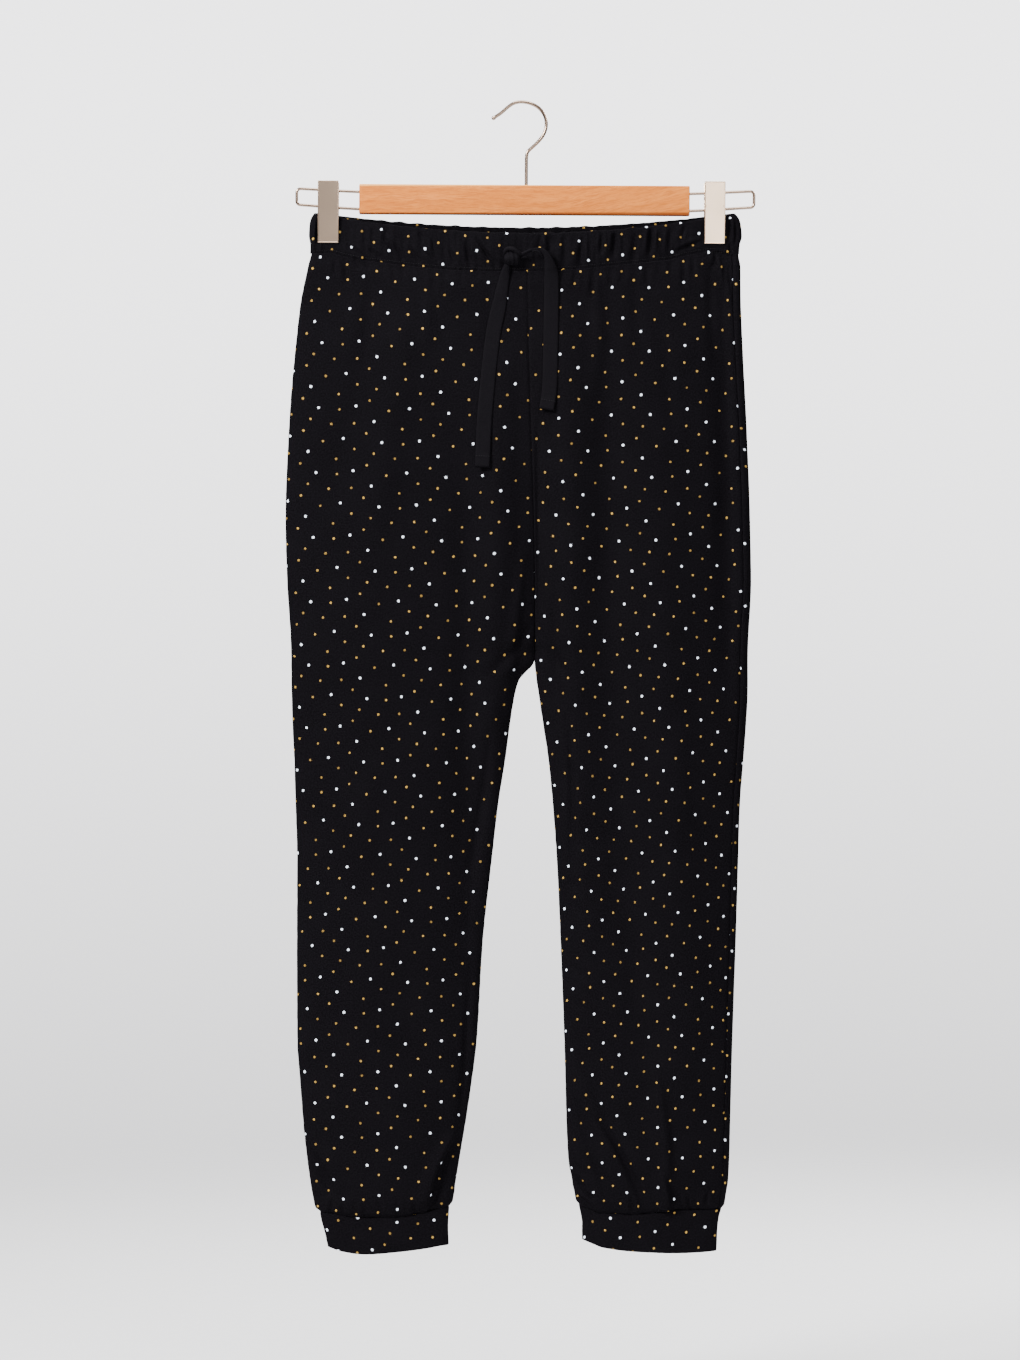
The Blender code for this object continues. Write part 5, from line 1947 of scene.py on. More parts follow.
def front_rise(x: float, drop: float) -> float:
    """How far the garment's front stands out, on the waistband or on a leg.

    Args:
        x: X of the place.
        drop: Drop of the place.

    Returns:
        The distance there.
    """
    if drop < band_bottom(x, Face.FRONT):
        return float(band_rise(np.array([x]), Face.FRONT, 0.5)[0])
    inner = float(curve(OUTLINES, "right_inner")(drop))
    leg = Leg(Side.RIGHT if x < inner else Side.LEFT, Face.FRONT)
    start, end = (float(value) for value in leg.outline(drop))
    part = np.clip(np.array([(x - start) / (end - start)]), 0.0, 1.0)
    return float(leg.depth(part, np.array([x]), np.array([drop]), Face.FRONT)[0])


@dataclass
class Strip:
    """A flat strip of cloth along a line of places, closed all round."""
    stops: Sequence[Stop]
    thickness: float = 1.25
    step: float = 1.6
    half_columns: int = 12
    clearance: float = 1.9
    pleats: float = 0.0
    hem: float = 0.0
    hem_fullness: float = 0.9
    edge_power: int = 8
    end_rounding: float = 0.7
    corner_cut: float = 0.06
    corner_length: float = 2.5
    sway: float = 0.35
    sway_length: float = 16.0

    def centres(self) -> tuple[Array, Array]:
        """Read the stops at even steps.

        Returns:
            The stops' columns at each step, and the distance along the strip.
        """
        table = np.array(self.stops)
        reach = lengths_along(table[:, :2], 0)
        count = max(6, round(reach[-1] / self.step))
        keys = np.linspace(0.0, reach[-1], count + 1)
        return np.array([Curve(reach, column)(keys) for column in table.T]).T, keys

    def rest(self, x: float, drop: float, width: float, run: Array) -> float:
        """How far the cloth below the strip stands out, at its highest under the strip.

        Args:
            x: X of the strip's middle.
            drop: Drop of it.
            width: Width of the strip there.
            run: The way that it runs.

        Returns:
            The distance.
        """
        side = np.array((run[1], -run[0])) * width / 2
        return max(front_rise(x + side[0] * part, drop + side[1] * part)
                   for part in (-1.0, -0.5, 0.0, 0.5, 1.0))

    def centre_line(self, columns: Array, runs: Array) -> Array:
        """Points of the strip's middle, smoothed and clear of the cloth below.

        Args:
            columns: The stops' columns at each step.
            runs: The way that the strip runs, seen from the front.

        Returns:
            The points.
        """
        base = np.array([self.rest(*row[:3], run) for row, run in zip(columns, runs)])
        smooth = np.array([base[max(0, index - 3):index + 4].mean() for index in range(len(base))])
        out = np.maximum(base, smooth) + self.clearance + self.thickness / 2 + columns[:, 3]
        return np.stack((columns[:, 0], -out, -columns[:, 1]), axis=-1)

    def directions(self, centre: Array, runs: Array, turns: Array) -> tuple[Array, Array]:
        """Vectors of length one across the strip and out of it.

        Args:
            centre: Points of its middle.
            runs: The way that it runs, seen from the front.
            turns: How far it is turned about its line, in degrees.

        Returns:
            Both, at each point.
        """
        along = unit(np.gradient(centre, axis=0))
        flat = np.stack((runs[:, 1], np.zeros(len(runs)), runs[:, 0]), axis=-1)
        flat = unit(flat - along * (flat * along).sum(axis=1, keepdims=True))
        raised = np.cross(flat, along)
        raised *= np.where(raised[:, 1:2] > 0.0, -1.0, 1.0)
        turn = np.radians(turns)[:, None]
        return flat * np.cos(turn) + raised * np.sin(turn), raised * np.cos(turn) - flat * np.sin(turn)

    def half_thickness(self, keys: Array) -> Array:
        """Half the strip's thickness along it, double at a turned hem and none at its ends.

        Args:
            keys: Distances along the strip.

        Returns:
            The half thickness there.
        """
        ends = np.sqrt(np.clip(np.minimum(keys, keys[-1] - keys) / self.end_rounding, 0.0, 1.0))
        start = keys[-1] - self.hem
        hem = smoothstep(start - 0.5, start + 0.5, keys) if self.hem else 0.0
        return self.thickness * (1.0 + self.hem_fullness * hem) * ends / 2

    def build(self, name: str, finish: bpy.types.Material) -> tuple[bpy.types.Object, Array]:
        """Make the strip.

        Args:
            name: Name of the piece.
            finish: Its finish.

        Returns:
            The piece and the points of its centre line, in metres.
        """
        columns, keys = self.centres()
        widths, turns, cups = columns[:, 2:3], columns[:, 4], columns[:, 5:6]
        runs = unit(np.gradient(columns[:, :2], axis=0))
        centre = self.centre_line(columns, runs)
        across, normal = self.directions(centre, runs, turns)
        half = np.linspace(-1.0, 1.0, self.half_columns + 1)
        place = np.concatenate((half, half[::-1], half[:1]))
        top = np.concatenate((np.ones(len(half)), -np.ones(len(half)), np.ones(1)))
        from_end = (keys[-1:] - keys) / self.corner_length
        corner = 1.0 - self.corner_cut * np.clip(1.0 - from_end, 0.0, 1.0) ** 2
        wave = drift(keys / self.sway_length, 81.0 + self.stops[0].x)
        lift = cups * (1.0 - place ** 2) + self.pleats * np.sin(place * 11.0 + 0.7)
        lift = lift + self.sway * wave[:, None] * place
        edge = (1.0 - np.abs(place) ** self.edge_power) ** 0.5
        out = lift + top * edge * self.half_thickness(keys)[:, None]
        side = widths / 2 * place * corner[:, None]
        points = centre[:, None] + across[:, None] * side[..., None] + normal[:, None] * out[..., None]
        chart = np.stack((place * widths / 2, np.broadcast_to(keys[:, None], side.shape)), axis=-1)
        piece = finished_mesh(name, grid_mesh(points, [(0, chart)], closed=True), [finish])
        return piece, centre * MM


@dataclass
class Drawstring:
    """The tape's half knot and its two free ends."""
    long_end: tuple = (
        Stop(-16.4, 158, 5.5, 1.2, 0, 1.2),
        Stop(-17.6, 161.5, 7, 1, 0, 1),
        Stop(-19.6, 171, 10.4, 0.6, 0, 0.7),
        Stop(-22.6, 187, 13, 0.4, 0, 0.4),
        Stop(-25, 200, 14.4, 0.3),
        Stop(-30, 224, 15, 0.3),
        Stop(-36, 276, 15, 0.5),
        Stop(-39.4, 320, 15, 1.2),
        Stop(-40.9, 356, 14.6, 3),
    )
    short_end: tuple = (
        Stop(-4.6, 149.6, 3.4, 4.4, 24, 0.8),
        Stop(0.5, 147.2, 3.6, 5, 40, 0.9),
        Stop(7, 144.6, 4.2, 5.6, 55, 1),
        Stop(13.4, 144.4, 5.2, 6, 45, 1),
        Stop(18.6, 146.6, 6.2, 5.6, 28, 1.2),
        Stop(22.4, 151.6, 7.6, 4.6, 12, 1.4),
        Stop(24.6, 160, 11.6, 3, 4, 1.2),
        Stop(26.2, 170, 14.6, 1.8, 0, 0.8),
        Stop(26.2, 180, 15, 1.2, 0, 0.5),
        Stop(25.6, 230, 15, 0.5),
        Stop(24.6, 276, 15, 0.8),
        Stop(23, 290, 14.8, 1.8),
        Stop(21.2, 300, 15.2, 3.2),
    )
    top_roll: tuple = (
        Stop(-19.6, 149, 2.6, 0.6, 0, 0.8),
        Stop(-18.4, 145.4, 4.4, 2.6, 0, 1.6),
        Stop(-15, 143.4, 4.8, 4.4, 0, 1.9),
        Stop(-10.6, 144.4, 5, 5.4, 0, 1.9),
        Stop(-6.6, 147.2, 4.8, 5.4, 0, 1.6),
        Stop(-3, 150, 3.6, 3.8, 0, 1),
    )
    wrap: tuple = (
        Stop(-13.4, 146.6, 11, 1.6, 0, 1),
        Stop(-12.6, 149.4, 14.2, 4.2, 0, 1.6),
        Stop(-11.9, 152.6, 15.4, 5.2, 0, 2),
        Stop(-11.6, 155.6, 14.2, 3.6, 0, 1.6),
        Stop(-11.8, 158.4, 10.6, 0.6, 0, 0.8),
    )
    inner_ridge: tuple = (
        Stop(7, 146.4, 1.8, 6.4, 0, 0.6),
        Stop(11.6, 145.6, 2.4, 7.2, 0, 0.8),
        Stop(15, 147.6, 2.8, 6.6, 0, 0.8),
        Stop(17.6, 151.4, 2.4, 4.8, 0, 0.6),
    )
    stub: tuple = (
        Stop(-4.6, 151.8, 3, 3.6, 0, 0.8),
        Stop(-1, 151.2, 2.8, 3.8, 0, 0.8),
        Stop(2.6, 151.6, 2, 2.4, 0, 0.6),
    )
    long_length: float = 0.199
    short_length: float = 0.176
    long_hem: float = 12.0
    short_hem: float = 10.2
    clearance: float = 0.5
    knot_clearance: float = 0.2
    stitch_reach: float = 6.0
    stitch_pitch: float = 2.4
    stitch_lift: float = 1.35
    stitch_half_sizes: tuple = (0.95, 0.26, 0.26)

    def build(self, tape: bpy.types.Material, thread: bpy.types.Material) -> None:
        """Args:
            tape: Finish of the tape.
            thread: Finish of the stitches.
        """
        knot = self.knot(tape)
        for name, stops, node, length, hem in (
                ("tape_long_end", self.long_end, "drawstring_end_right", self.long_length, self.long_hem),
                ("tape_short_end", self.short_end, "drawstring_end_left", self.short_length, self.short_hem)):
            piece, centre = Strip(stops, hem=hem, clearance=self.clearance).build(name, tape)
            dress(piece, "tape", node)
            seam = self.hem_seam(f"{name}_stitches", centre, hem, thread)
        dress(knot, "tape", "drawstring_knot")

    def knot(self, finish: bpy.types.Material) -> bpy.types.Object:
        """The half knot: a pleated wrap, the roll over it and the stubs that come out of it.

        Args:
            finish: Finish of the tape.

        Returns:
            The knot, as one piece.
        """
        low = self.knot_clearance
        strips = (
            Strip(self.top_roll, thickness=2.6, step=0.8, clearance=low),
            Strip(self.wrap, thickness=2.6, step=0.6, clearance=low, pleats=0.32, half_columns=30),
            Strip(self.inner_ridge, thickness=1.2, step=0.7, clearance=low),
            Strip(self.stub, thickness=1.6, step=0.6, clearance=low),
        )
        mesh = bmesh.new()
        for strip in strips:
            part = strip.build("knot_part", finish)[0]
            mesh.from_mesh(part.data)
            bpy.data.objects.remove(part, do_unlink=True)
        return finished_mesh("half_knot", mesh, [finish])

    def hem_seam(self, name: str, centre: Array, hem: float, finish: bpy.types.Material) -> bpy.types.Object:
        """Row of stitches across a tape's turned end.

        Args:
            name: Name of the piece.
            centre: Points of the tape's middle, in metres.
            hem: How far from the end the row lies, in millimetres.
            finish: Finish of the thread.

        Returns:
            The stitches, as one piece.
        """
        step = float(np.linalg.norm(np.diff(centre, axis=0), axis=1).mean()) / MM
        index = len(centre) - 1 - round(hem / step)
        middle = Vector(centre[index]) / MM
        run = Vector(centre[index + 1] - centre[index - 1]).normalized()
        side = Vector((run.z, 0.0, -run.x)).normalized()
        mesh = bmesh.new()
        for place in np.arange(-self.stitch_reach, self.stitch_reach + 0.1, self.stitch_pitch):
            spot = middle + side * float(place) + Vector((0.0, -self.stitch_lift, 0.0))
            add_stitch(mesh, spot, side, self.stitch_half_sizes, 2)
        return dress(finished_mesh(name, mesh, [finish]), "tape")


def smoothed(points: Sequence[tuple[float, float]], rounds: int) -> Array:
    """Cut the corners of a line several times, with its ends kept.

    Args:
        points: The line's points.
        rounds: How many times.

    Returns:
        The smoothed line.
    """
    line = np.array(points, dtype=float)
    for _ in range(rounds):
        near = line[:-1] * 0.75 + line[1:] * 0.25
        far = line[:-1] * 0.25 + line[1:] * 0.75
        line = np.concatenate((line[:1], np.stack((near, far), axis=1).reshape(-1, 2), line[-1:]))
    return line


def arc(centre: tuple[float, float], radius: float, start: float, end: float,
        count: int) -> list[tuple[float, float]]:
    """Points along an arc, angles in degrees."""
    angles = np.radians(np.linspace(start, end, count + 1))
    return [(centre[0] + radius * math.cos(angle), centre[1] + radius * math.sin(angle)) for angle in angles]


class RailRun(NamedTuple):
    """Height of one run of a rail's loop where it leaves the bar and where it turns."""
    bar_z: float
    turn_z: float


@dataclass
class Hanger:
    """Beech bar with its hook, wire rails and flat clips, all tilted as one."""
    tilt: float = math.radians(0.35)
    bar_size: tuple = (322.0, 12.0, 28.7)
    bar_centre: tuple = (0.5, 0.0, -94.3)
    bar_edge: float = 1.0
    bar_crease: float = math.radians(40.0)
    hook_wire: float = 3.3
    hook_bends: tuple = ((3.0, -47.2), (6.4, -44.0), (12.8, -38.2), (18.8, -31.0), (21.7, -22.5),
                         (20.9, -13.5), (16.2, -5.6), (8.2, -0.3), (-2.0, 2.0), (-10.6, 0.6),
                         (-17.0, -4.2), (-22.8, -9.6), (-28.6, -13.4))
    stem_x: float = 2.2
    stem_depth: float = 17.0
    ball: float = 2.15
    rail_wire: float = 2.8
    rail_corner: float = 3.8
    rail_insert: float = 19.0
    rail_top: RailRun = RailRun(-87.3, -84.4)
    rail_bottom: RailRun = RailRun(-104.1, -100.2)
    rail_ends: tuple = (-221.5, 224.4)
    clip_xs: tuple = (-190.6, 186.0)
    clip_size: tuple = (20.3, 1.2, 60.4)
    clip_tops: tuple = (-77.0, -75.6)
    plate_top_y: float = 8.6
    jaw_y: float = 3.45
    plate_edge: float = 0.42
    plate_crease: float = math.radians(38.0)
    rim: float = 1.1
    press: float = 0.22
    press_slope: float = 0.3
    lug_thickness: float = 1.0
    lug_reach: float = 3.0
    lug_round: float = 2.6
    outer_lug_x: float = 8.6
    inner_lug_x: float = 7.2
    pin_radius: float = 1.25
    pin_length: float = 20.4
    pin_dome: float = 0.9
    coil_length: float = 12.0
    coil_radius: float = 2.35
    coil_wire: float = 0.9
    coil_turns: int = 9
    coil_sides: int = 8
    wire_sides: int = 16

    def place(self, mesh: bmesh.types.BMesh, unit_size: float = MM) -> bmesh.types.BMesh:
        """Tilt a part of the hanger, and bring it from its unit to metres."""
        mesh.transform(Matrix.Rotation(self.tilt, 4, "Y") @ Matrix.Scale(unit_size, 4))
        return mesh

    def bar(self, finish: bpy.types.Material) -> bpy.types.Object:
        """The wooden bar, its long edges eased.

        Args:
            finish: Finish of the wood.

        Returns:
            The bar.
        """
        mesh = box_mesh(self.bar_size)
        bmesh.ops.translate(mesh, vec=self.bar_centre, verts=mesh.verts)
        ease(mesh, mesh.edges, self.bar_edge, 5)
        piece = finished_mesh("beech_bar", self.place(mesh), [finish])
        piece.data.set_sharp_from_angle(angle=self.bar_crease)
        return dress(piece, "beech", "hanger_bar")

    def wire(self, name: str, line: Array, radii: Array, finish: bpy.types.Material) -> bpy.types.Object:
        """A round wire along a line in the hanger's plane.

        Args:
            name: Name of the piece.
            line: Points (x, z) of its centre.
            radii: Radius at each point.
            finish: Its finish.

        Returns:
            The piece.
        """
        runs = unit(np.gradient(line, axis=0))
        none = np.zeros(len(line))
        middle = np.stack((line[:, 0], none, line[:, 1]), axis=-1)
        side = np.stack((runs[:, 1], none, -runs[:, 0]), axis=-1)
        out = np.stack((none, none + 1.0, none), axis=-1)
        mesh = tube(middle, side, out, radii, self.wire_sides)
        return finished_mesh(name, self.place(mesh, 1.0), [finish])

    def hook(self, finish: bpy.types.Material) -> bpy.types.Object:
        """Stem, swan neck, round crown and flared tip with its small ball.

        Args:
            finish: Finish of the wire.

        Returns:
            The hook.
        """
        bar_top = self.bar_centre[2] + self.bar_size[2] / 2
        stem = [(self.stem_x, bar_top - self.stem_depth), (self.stem_x, -60.0), (self.stem_x, -52.0)]
        route = smoothed([*stem, *self.hook_bends], 3)
        angles = np.linspace(math.radians(42.0), math.pi, 9)
        reach = self.ball * (math.cos(angles[0]) - np.cos(angles))
        ball_line = route[-1] + unit(route[-1] - route[-2]) * reach[:, None]
        line = np.concatenate((route[:1], route, ball_line[1:]))
        ball_radii = self.ball * np.sin(angles[1:])
        radii = np.concatenate(([0.0], np.full(len(route), self.hook_wire / 2), ball_radii))
        line[0] -= (0.0, 0.01)
        return dress(self.wire("crown_hook", line, radii, finish), "wire", "hanger_hook")

    def rail_span(self, outward: float) -> tuple[float, float]:
        """X where a rail starts to rise, just out of the bar, and where it turns."""
        end_x = self.rail_ends[1] if outward > 0.0 else self.rail_ends[0]
        start = self.bar_centre[0] + outward * (self.bar_size[0] / 2 + 1.0)
        return start, end_x - outward * self.rail_corner

    def rail_z(self, run: RailRun, x: float) -> float:
        """Height of a rail's run, which rises from the bar to its turn."""
        start, turn = self.rail_span(math.copysign(1.0, x))
        return run.bar_z + (run.turn_z - run.bar_z) * (x - start) / (turn - start)

    def rail(self, side: Side, finish: bpy.types.Material) -> bpy.types.Object:
        """A wire loop out of the bar's end and back into it.

        Args:
            side: Which end.
            finish: Finish of the wire.

        Returns:
            The rail.
        """
        outward = -side.inward
        start, turn = self.rail_span(outward)
        entry = self.bar_centre[0] + outward * (self.bar_size[0] / 2 - self.rail_insert)
        angle = 90.0 - outward * 90.0
        corner = self.rail_corner
        upper = arc((turn, self.rail_top.turn_z - corner), corner, 90.0, angle, 12)
        lower = arc((turn, self.rail_bottom.turn_z + corner), corner, angle, angle - outward * 90.0, 12)
        out = [(entry, self.rail_top.bar_z), (start, self.rail_top.bar_z)]
        back = [(start, self.rail_bottom.bar_z), (entry, self.rail_bottom.bar_z)]
        line = smoothed(out + upper + lower + back, 1)
        line = np.concatenate((line[:1], line, line[-1:]))
        line[(0, -1), 0] -= outward * 0.01
        radii = np.full(len(line), self.rail_wire / 2)
        radii[[0, -1]] = 0.0
        return dress(self.wire(f"wire_rail_{side.value}", line, radii, finish), "wire", f"rail_{side.value}")

    def lug_span(self, centre_x: float) -> tuple[float, float]:
        """Lowest and highest Z of a clip's lugs, which fit between the rail's two runs.

        Args:
            centre_x: X of the clip.

        Returns:
            Both heights.
        """
        clear = self.rail_wire / 2 + 0.3
        to_edge = math.copysign(self.clip_size[0] / 2, centre_x)
        return (self.rail_z(self.rail_bottom, centre_x + to_edge) + clear,
                self.rail_z(self.rail_top, centre_x - to_edge) - clear)

    def plate(self, outward: float) -> bmesh.types.BMesh:
        """A clip's plate round the origin, its outer face pressed in within a narrow rim.

        Args:
            outward: Sign of Y that points out of the clip.

        Returns:
            The mesh, in millimetres.
        """
        mesh = box_mesh(self.clip_size)
        ease(mesh, mesh.edges, self.plate_edge, 3)
        shown = [part for part in mesh.faces
                 if part.normal.y * outward > 0.99 and part.calc_area() > self.clip_size[0]]
        bmesh.ops.inset_region(mesh, faces=shown, thickness=self.rim - self.plate_edge, depth=0.0)
        bmesh.ops.inset_region(mesh, faces=shown, thickness=self.press_slope, depth=-self.press)
        return mesh

    def lug(self, size: Sequence[float], outward: float) -> bmesh.types.BMesh:
        """A lug that holds the pin, round the origin and rounded at its inner end.

        Args:
            size: Its three sides.
            outward: Sign of Y that points out of the clip.

        Returns:
            The mesh, in millimetres.
        """
        mesh = box_mesh(size)
        inner = [edge for edge in mesh.edges
                 if all(vert.co.y * outward < 0.0 for vert in edge.verts)
                 and abs(edge.verts[0].co.x - edge.verts[1].co.x) > size[0] / 2]
        ease(mesh, inner, self.lug_round, 6)
        return mesh

    def jaw(self, side: Side, face: Face, finish: bpy.types.Material) -> bpy.types.Object:
        """Half of a clip: a plate that leans to its jaw, with two lugs round the pin.

        Args:
            side: Which clip.
            face: Front or back half.
            finish: Finish of the plate.

        Returns:
            The half clip.
        """
        centre_x, top_z = (values[side is Side.LEFT] for values in (self.clip_xs, self.clip_tops))
        thickness, height = self.clip_size[1:]
        outward = face.outward
        lean = math.atan2(self.plate_top_y - self.jaw_y, height)
        middle_y = (self.plate_top_y + self.jaw_y) / 2 + thickness / 2
        centre = Vector((centre_x, outward * middle_y, top_z - height / 2))
        mesh = self.plate(outward)
        mesh.transform(Matrix.Translation(centre) @ Matrix.Rotation(outward * -lean, 4, "X"))
        bottom, top = self.lug_span(centre_x)
        pivot_z = (bottom + top) / 2
        plate_y = middle_y + math.tan(lean) * (pivot_z - centre.z)
        reach = plate_y + self.lug_reach
        lug_x = self.outer_lug_x if face is Face.FRONT else self.inner_lug_x
        for end in (-1.0, 1.0):
            lug = self.lug((self.lug_thickness, reach, top - bottom), outward)
            spot = Vector((centre_x + end * lug_x, outward * (plate_y - reach / 2), pivot_z))
            bmesh.ops.translate(lug, vec=spot, verts=lug.verts)
            join(mesh, lug)
        piece = finished_mesh(f"clip_{side.value}_{face.value}_jaw", self.place(mesh), [finish])
        piece.data.set_sharp_from_angle(angle=self.plate_crease)
        return dress(piece, "clip_plate", f"clip_{side.value}_{face.value}_plate")

    def spring(self, pivot: Array) -> bmesh.types.BMesh:
        """The spring's turns round a clip's pin.

        Args:
            pivot: Middle of the pin, in millimetres.

        Returns:
            The mesh, in metres.
        """
        turns = np.linspace(0.0, 2.0 * math.pi * self.coil_turns, self.coil_turns * 20 + 1)
        x = np.linspace(-self.coil_length / 2, self.coil_length / 2, len(turns))
        out = np.stack((0.0 * turns, np.cos(turns), np.sin(turns)), axis=-1)
        line = self.coil_radius * out
        line[:, 0] = x
        cross = np.cross(unit(np.gradient(line, axis=0)), out)
        radii = np.full(len(turns), self.coil_wire / 2)
        radii[[0, -1]] = 0.0
        return tube(pivot + line, out, cross, radii, self.coil_sides)

    def pin(self, pivot: Array) -> bmesh.types.BMesh:
        """A clip's pin with domed ends.

        Args:
            pivot: Its middle, in millimetres.

        Returns:
            The mesh, in metres.
        """
        ends = np.linspace(0.0, math.pi / 2, 5)
        far = self.pin_length / 2 + self.pin_dome * (np.sin(ends) - 1.0)
        x = np.concatenate((-far[::-1], far))
        radii = self.pin_radius * np.concatenate((np.cos(ends[::-1]), np.cos(ends)))
        axes = np.broadcast_to(np.eye(3)[:, None, :], (3, len(x), 3))
        return tube(pivot + axes[0] * x[:, None], axes[1], axes[2], radii, self.wire_sides)

    def coil(self, side: Side, finish: bpy.types.Material) -> bpy.types.Object:
        """A clip's pin and the spring that is wound round it.

        Args:
            side: Which clip.
            finish: Finish of the wire.

        Returns:
            Both, as one piece.
        """
        centre_x = self.clip_xs[side is Side.LEFT]
        pivot = np.array((centre_x, 0.0, sum(self.lug_span(centre_x)) / 2))
        mesh = self.spring(pivot)
        join(mesh, self.pin(pivot))
        piece = finished_mesh(f"clip_{side.value}_coil", self.place(mesh, 1.0), [finish])
        return dress(piece, "wire", f"clip_{side.value}_spring")

    def build(self) -> None:
        """Make all of the hanger."""
        half = self.bar_size[2] / 2
        wood = Beech().material("beech", (self.bar_centre[2] - half) * MM, (self.bar_centre[2] + half) * MM)
        wire = SatinNickel((0.31, 0.225, 0.170, 1.0), 0.2, (300.0, 300.0, 300.0)).material("nickel_wire")
        # Painted shade: the wearer's right clip gets a darker, rougher copy of the plate finish
        painted_shade_plate = SatinNickel((0.52, 0.385, 0.285, 1.0), 0.29).material("nickel_plate_painted_shade")
        plates = {Side.RIGHT: painted_shade_plate, Side.LEFT: SatinNickel().material("nickel_plate")}
        self.bar(wood)
        self.hook(wire)
        for side in Side:
            self.rail(side, wire)
            for face in Face:
                self.jaw(side, face, plates[side])
            self.coil(side, wire)


@dataclass
class Garment:
    """The pyjama bottoms: casing, legs, cuffs and drawstring."""
    side_wrap: float = 6.5

    def build(self) -> None:
        """Make every cut piece."""
        jersey = PrintedJersey().material("dotted_jersey")
        reverse = Knit().plain("jersey_reverse")
        tape = KnitTape().material("knit_tape")
        thread = Thread().material("black_thread")
        Drawstring().build(tape, thread)
        for face in Face:
            Casing(face).build(jersey, thread)
            for side in Side:
                wrap = 0.0
                if side is Side.LEFT:
                    wrap = self.side_wrap if face is Face.FRONT else -self.side_wrap
                Leg(side, face, wrap).build([jersey, reverse], f"casing_{face.value}")
        for side in Side:
            AnkleCuff(side).build(jersey)


class Lamp(NamedTuple):
    """One square soft light, in metres and watts."""
    name: str
    place: tuple[float, float, float]
    aim: tuple[float, float, float]
    size: float
    power: float


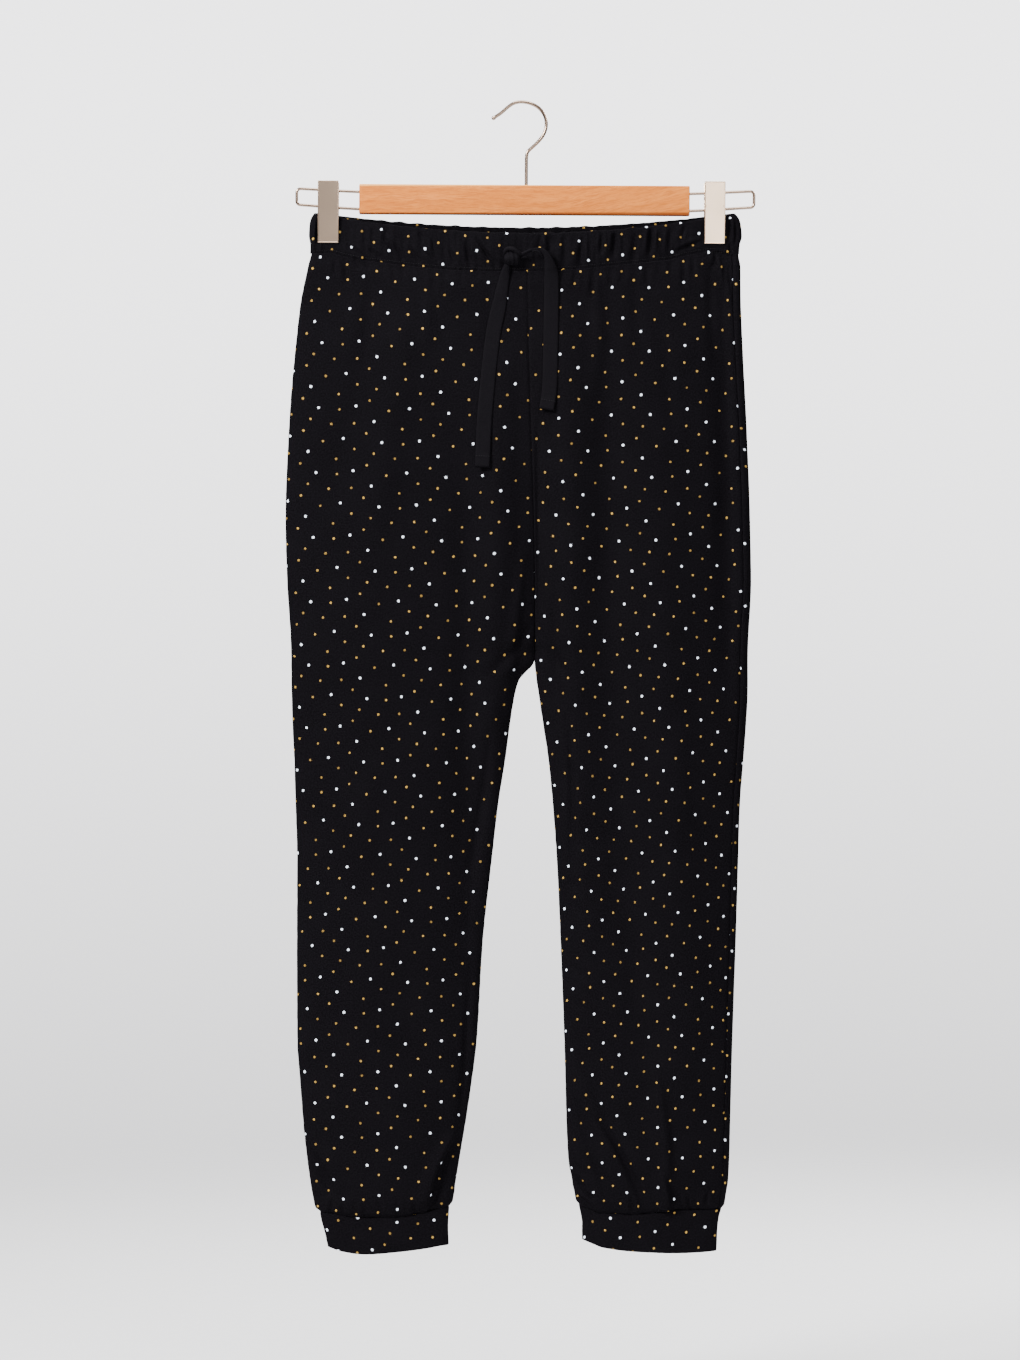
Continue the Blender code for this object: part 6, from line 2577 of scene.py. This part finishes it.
@dataclass
class Studio:
    """Camera at the photograph's angle, soft lights and a pale floor."""
    lamps: tuple = (
        Lamp("key", (-2.2, -2.0, 1.3), (0.0, 0.0, -0.55), 1.1, 290.0),
        Lamp("fill", (2.3, -2.4, 0.7), (0.0, 0.0, -0.55), 1.8, 34.0),
        Lamp("front_card", (0.9, -4.4, -0.45), (0.186, 0.0, -0.1), 1.4, 30.0),
        Lamp("top", (0.0, -0.5, 1.7), (0.0, 0.0, -0.4), 1.2, 65.0),
        Lamp("back", (2.0, 2.4, 1.3), (0.0, 0.0, -0.55), 1.3, 260.0),
    )
    pixel: float = 0.975
    frame_pixels: tuple = (1020, 1360)
    crown_pixel: tuple = (524.5, 103.5)
    distance: float = 4.5
    sensor: float = 36.0
    floor_z: float = -1.30
    floor_radius: float = 3.5
    low_room: float = 0.06
    high_room: float = 0.85
    low_sky: float = 1.42
    high_sky: float = 3.5
    sky_span: tuple[float, float] = (-0.16, 0.14)
    room_span: tuple[float, float] = (-0.35, 0.6)
    backdrop: Colour = (0.985, 0.98, 1.0, 1.0)

    def camera(self) -> bpy.types.Object:
        """Level camera whose frame is the photograph's at the garment's plane."""
        width, height = self.frame_pixels
        data = bpy.data.cameras.new("camera")
        data.sensor_fit = "VERTICAL"
        data.sensor_height = self.sensor
        data.lens = self.sensor * self.distance / (height * self.pixel * MM)
        data.clip_end = 50.0
        made = bpy.data.objects.new("camera", data)
        x = (width / 2 - self.crown_pixel[0]) * self.pixel * MM
        z = -(height / 2 - self.crown_pixel[1]) * self.pixel * MM
        made.location = (x, -self.distance, z)
        made.rotation_euler = (math.pi / 2, 0.0, 0.0)
        bpy.context.scene.collection.objects.link(made)
        bpy.context.scene.camera = made
        return made

    def light(self, lamp: Lamp) -> None:
        """Make one of the lamps.

        Args:
            lamp: Its place, aim, size and power.
        """
        data = bpy.data.lights.new(lamp.name, "AREA")
        data.energy = lamp.power
        data.size = lamp.size
        made = bpy.data.objects.new(lamp.name, data)
        made.location = lamp.place
        made.rotation_euler = (Vector(lamp.aim) - Vector(lamp.place)).to_track_quat("-Z", "Y").to_euler()
        bpy.context.scene.collection.objects.link(made)

    def world(self) -> None:
        """Pale backdrop behind everything, and a dimmer room, dark below, that lights and reflects."""
        world = bpy.data.worlds.new("studio")
        world.use_nodes = True
        tree = world.node_tree
        back = tree.nodes["Background"]
        back.inputs["Color"].default_value = self.backdrop
        toward = tree.nodes.new("ShaderNodeTexCoord").outputs["Generated"]
        axes = tree.nodes.new("ShaderNodeSeparateXYZ")
        tree.links.new(toward, axes.inputs[0])
        sky = self.world_step(tree, axes.outputs["Z"], self.sky_span, (self.low_sky, self.high_sky))
        room = self.world_step(tree, axes.outputs["Z"], self.room_span, (self.low_room, self.high_room))
        seen = tree.nodes.new("ShaderNodeLightPath").outputs["Is Camera Ray"]
        strength = self.world_step(tree, seen, (0.0, 1.0), (room, sky))
        tree.links.new(strength, back.inputs["Strength"])
        bpy.context.scene.world = world

    def world_step(self, tree: bpy.types.NodeTree, value: bpy.types.NodeSocket, bounds: tuple,
                   ends: tuple) -> bpy.types.NodeSocket:
        """Smooth step between two strengths.

        Args:
            tree: The world's nodes.
            value: What it steps by.
            bounds: Where it starts and ends.
            ends: Both strengths, each a number or a socket.

        Returns:
            The step's socket.
        """
        node = tree.nodes.new("ShaderNodeMapRange")
        node.interpolation_type = "SMOOTHSTEP"
        tree.links.new(value, node.inputs["Value"])
        node.inputs["From Min"].default_value, node.inputs["From Max"].default_value = bounds
        for name, end in zip(("To Min", "To Max"), ends):
            if isinstance(end, bpy.types.NodeSocket):
                tree.links.new(end, node.inputs[name])
            else:
                node.inputs[name].default_value = end
        return node.outputs["Result"]

    def floor(self) -> None:
        """A round pale floor under the garment."""
        mesh = bmesh.new()
        bmesh.ops.create_circle(mesh, cap_ends=True, segments=96, radius=self.floor_radius)
        bmesh.ops.translate(mesh, vec=(0.0, 0.0, self.floor_z), verts=mesh.verts)
        made = finished_mesh("studio_floor", mesh, [StudioFloor().material("studio_floor")], smooth=False)

    def build(self) -> None:
        """Set up the whole studio."""
        self.camera()
        self.world()
        self.floor()
        for lamp in self.lamps:
            self.light(lamp)


def main() -> None:
    """Build the studio, the garment and its hanger."""
    logging.basicConfig(level=logging.INFO, format="%(name)s: %(message)s")
    Studio().build()
    Garment().build()
    Hanger().build()


if __name__ == "__main__":
    main()
